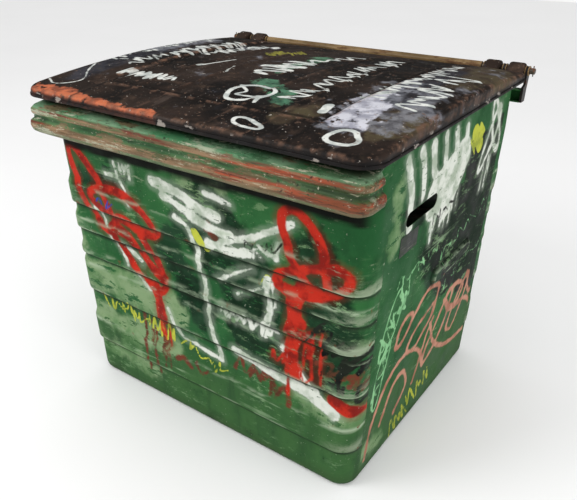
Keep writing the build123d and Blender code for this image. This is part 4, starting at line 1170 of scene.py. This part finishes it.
def rusty_metal(name, base, second, rust, share, metal=0.5, scale=18.0, stretch=(1, 1, 1)):
    """Bare or painted steel with blooms of rust over about the given share of it."""
    look = Look(name)
    cloudy = look.noise(scale, 21, detail=7, rough=0.62, stretch=stretch)
    fine = look.noise(scale * 6, 22, detail=5, stretch=stretch)
    blooms = look.noise(scale * 1.7, 23, detail=8, rough=0.7, stretch=stretch)
    blooms = look.step(blooms, 0.62 - share * 0.3, 0.70 - share * 0.3)
    look.colour = look.blend(cloudy, 0.36, 0.62, base, second)
    dark_rust = (*(0.55 * c for c in tone(*rust)[:3]), 1.0)
    look.coat(look.blend(fine, 0.4, 0.6, rust, dark_rust), blooms)
    look.patch((28, 24, 20), look.noise(140, 24, detail=3), 0.66, 0.72, 0.6)
    bare = look.maths("MULTIPLY_ADD", blooms, -metal, metal)
    rough = look.maths("MULTIPLY_ADD", blooms, 0.35, 0.42)
    bumps = [(cloudy, 0.3, 0.0010), (fine, 0.3, 0.0004), (blooms, 0.3, 0.0004)]
    return look.finish(rough, bumps, metal=bare)


def rubber():
    """Black rubber greyed by dust."""
    look = Look("black_rubber")
    dust = look.noise(40, 31, detail=6)
    grain = look.noise(300, 32, detail=2)
    look.colour = look.blend(dust, 0.42, 0.66, (24, 24, 24), (64, 62, 58))
    return look.finish(look.step(dust, 0.3, 0.7, 0.6, 0.85), [(dust, 0.3, 0.0008), (grain, 0.2, 0.0003)])


def blank_plate():
    """A dark painted plate with bare scratches and nothing written on it."""
    look = Look("blank_plate_scratched")
    cloudy = look.noise(30, 41, detail=6)
    scratches = look.noise(60, 42, detail=6, rough=0.7, stretch=(1, 0.1, 1))
    look.colour = look.blend(cloudy, 0.40, 0.62, (14, 24, 16), (34, 46, 32))
    look.patch((104, 108, 92), scratches, 0.56, 0.64, 0.8)
    return look.finish(look.step(cloudy, 0.3, 0.7, 0.4, 0.6), [(scratches, 0.3, 0.0004)])


def dress(piece, material):
    piece.data.materials.clear()
    piece.data.materials.append(material)


WALLS = [  # piece, its CAD node, strokes on it
    (front_panel, "front_panel", FRONT_PAINT),
    (rear_panel, "rear_panel", REAR_PAINT),
    (right_panel, "side_panel_right", SIDE_PAINT),
    (left_panel, "side_panel_left", LEFT_PAINT),
]
for piece, node, strokes in WALLS:
    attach(piece, "tub")
    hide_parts(node)
    dress(piece, tub_paint(piece.name + "_paint", strokes))

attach(lifting_rail, "tub")
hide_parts("comb_rail")
rail_look = rail_paint()
dress(lifting_rail, rail_look)

lid_look = lid_plastic("lid_plastic_scuffed", LID_PAINT)
for piece in (lid, knuckles):
    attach(piece, "lid")
    dress(piece, lid_look)
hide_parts("lid_shell")

plain_green = tub_paint("tub_paint_plain", {})
METALS = {  # colour, second colour, rust, share of rust, metallic, noise scale and stretch
    # hand-hold cups: the near-black base is painted shade inside the recess; the rust blooms are real
    "cup_painted_shade_rusty": ((12, 24, 14), (5, 8, 5), (60, 40, 28), 0.22, 0.05),
    "frame_steel_rusty": ((88, 84, 76), (60, 58, 52), (112, 66, 40), 0.45),
    "black_steel_worn": ((30, 27, 26), (48, 42, 39), (104, 62, 42), 0.22, 0.15),
    "rod_steel_dull": ((110, 102, 92), (76, 68, 60), (108, 64, 40), 0.45, 0.7),
    "spacer_tube_rust": ((148, 122, 84), (104, 84, 54), (112, 82, 54), 0.30, 0.1, 22.0, (0.25, 1, 1)),
    "zinc_wire": ((150, 148, 142), (112, 110, 104), (120, 74, 46), 0.15, 0.85),
}
metals = {name: rusty_metal(name, *values) for name, values in METALS.items()}
dark_plastic = lid_plastic("bush_plastic_dark", {})
NODE_LOOKS = [
    (plain_green, ("rim_frame", "rear_rail", "drain_ring")),
    (metals["cup_painted_shade_rusty"], ("handhold_cup_left", "handhold_cup_right")),
    (rail_look, ("rail_end_plates",)),
    (metals["frame_steel_rusty"], ("floor_pan", "castor_pads", "floor_beams", "rail_gussets")),
    (metals["black_steel_worn"], ("hinge_ears",)),
    (metals["rod_steel_dull"], ("hinge_rod",)),
    (metals["spacer_tube_rust"], ("rod_spacer_tube", "hinge_washers")),
    (metals["zinc_wire"], ("split_pins", "pull_ring")),
    (dark_plastic, ("knuckle_bushes",)),
    (rubber(), ("lid_buffers", "drain_bung")),
    (blank_plate(), ("blank_label",)),
]
for material, nodes in NODE_LOOKS:
    for node in nodes:
        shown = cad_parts[node]
        if not shown.material_slots:
            shown.data.materials.append(material)
        for place in shown.material_slots:
            place.material = material


# ---- floor, light and camera ----
FLOOR_HALF, FLOOR_DROP = 12, 0.001
corners = [(-1, -1), (1, -1), (1, 1), (-1, 1)]
floor_mesh = bpy.data.meshes.new("floor")
floor_mesh.from_pydata([(FLOOR_HALF * x, FLOOR_HALF * y, 0) for x, y in corners], [], [(0, 1, 2, 3)])
floor = bpy.data.objects.new("floor", floor_mesh)
floor.location.z = -FLOOR_DROP
bpy.context.scene.collection.objects.link(floor)
floor_look = Look("floor_pale")
floor_look.colour = floor_look.mix(floor_look.noise(0.8, 51), (0.86, 0.86, 0.86, 1), (0.90, 0.90, 0.90, 1))
dress(floor, floor_look.finish(0.8, [(floor_look.noise(40, 52), 0.02, 0.001)]))

WORLD, REFLECTED_WORLD = 0.95, 0.15   # the room is darker in reflections
world = bpy.data.worlds.new("studio")
world.use_nodes = True
background = world.node_tree.nodes["Background"]
background.inputs["Color"].default_value = (1, 1, 1, 1)
ray = world.node_tree.nodes.new("ShaderNodeLightPath")
dimmed = world.node_tree.nodes.new("ShaderNodeMath")
dimmed.operation = "MULTIPLY_ADD"
world.node_tree.links.new(ray.outputs["Is Glossy Ray"], dimmed.inputs[0])
dimmed.inputs[1].default_value = REFLECTED_WORLD - WORLD
dimmed.inputs[2].default_value = WORLD
world.node_tree.links.new(dimmed.outputs[0], background.inputs["Strength"])
bpy.context.scene.world = world
bpy.context.scene.view_settings.view_transform = "Standard"


def aimed(name, data, place, aim, roll=0.0):
    """A light or camera at a place, looking at another."""
    shown = bpy.data.objects.new(name, data)
    shown.location = place
    shown.rotation_mode = "QUATERNION"
    look_at = (Vector(aim) - Vector(place)).to_track_quat("-Z", "Y")
    shown.rotation_quaternion = look_at @ Quaternion((0, 0, 1), math.radians(roll))
    bpy.context.scene.collection.objects.link(shown)
    return shown


LIGHT_AIM = (0, 0, 0.6)
LIGHT_SIZE = 2.4
for name, place, power in (("key", (-2.2, -3.2, 3.6), 90), ("fill", (3.4, -0.8, 2.6), 35)):
    lamp = bpy.data.lights.new(name, "AREA")
    lamp.shape = "DISK"
    lamp.size = LIGHT_SIZE
    lamp.energy = power
    aimed(name, lamp, place, LIGHT_AIM)

CAMERA_PLACE = (1.2279, -1.7711, 1.5847)
CAMERA_AIM = (0.0578, -0.2058, 0.5743)
CAMERA_ROLL = -0.69
LENS, SENSOR, LENS_SHIFT = 41.08, 36.0, 0.0411
camera_data = bpy.data.cameras.new("camera")
camera_data.sensor_width = SENSOR
camera_data.lens = LENS
camera_data.shift_x = LENS_SHIFT
bpy.context.scene.camera = aimed("camera", camera_data, CAMERA_PLACE, CAMERA_AIM, CAMERA_ROLL)
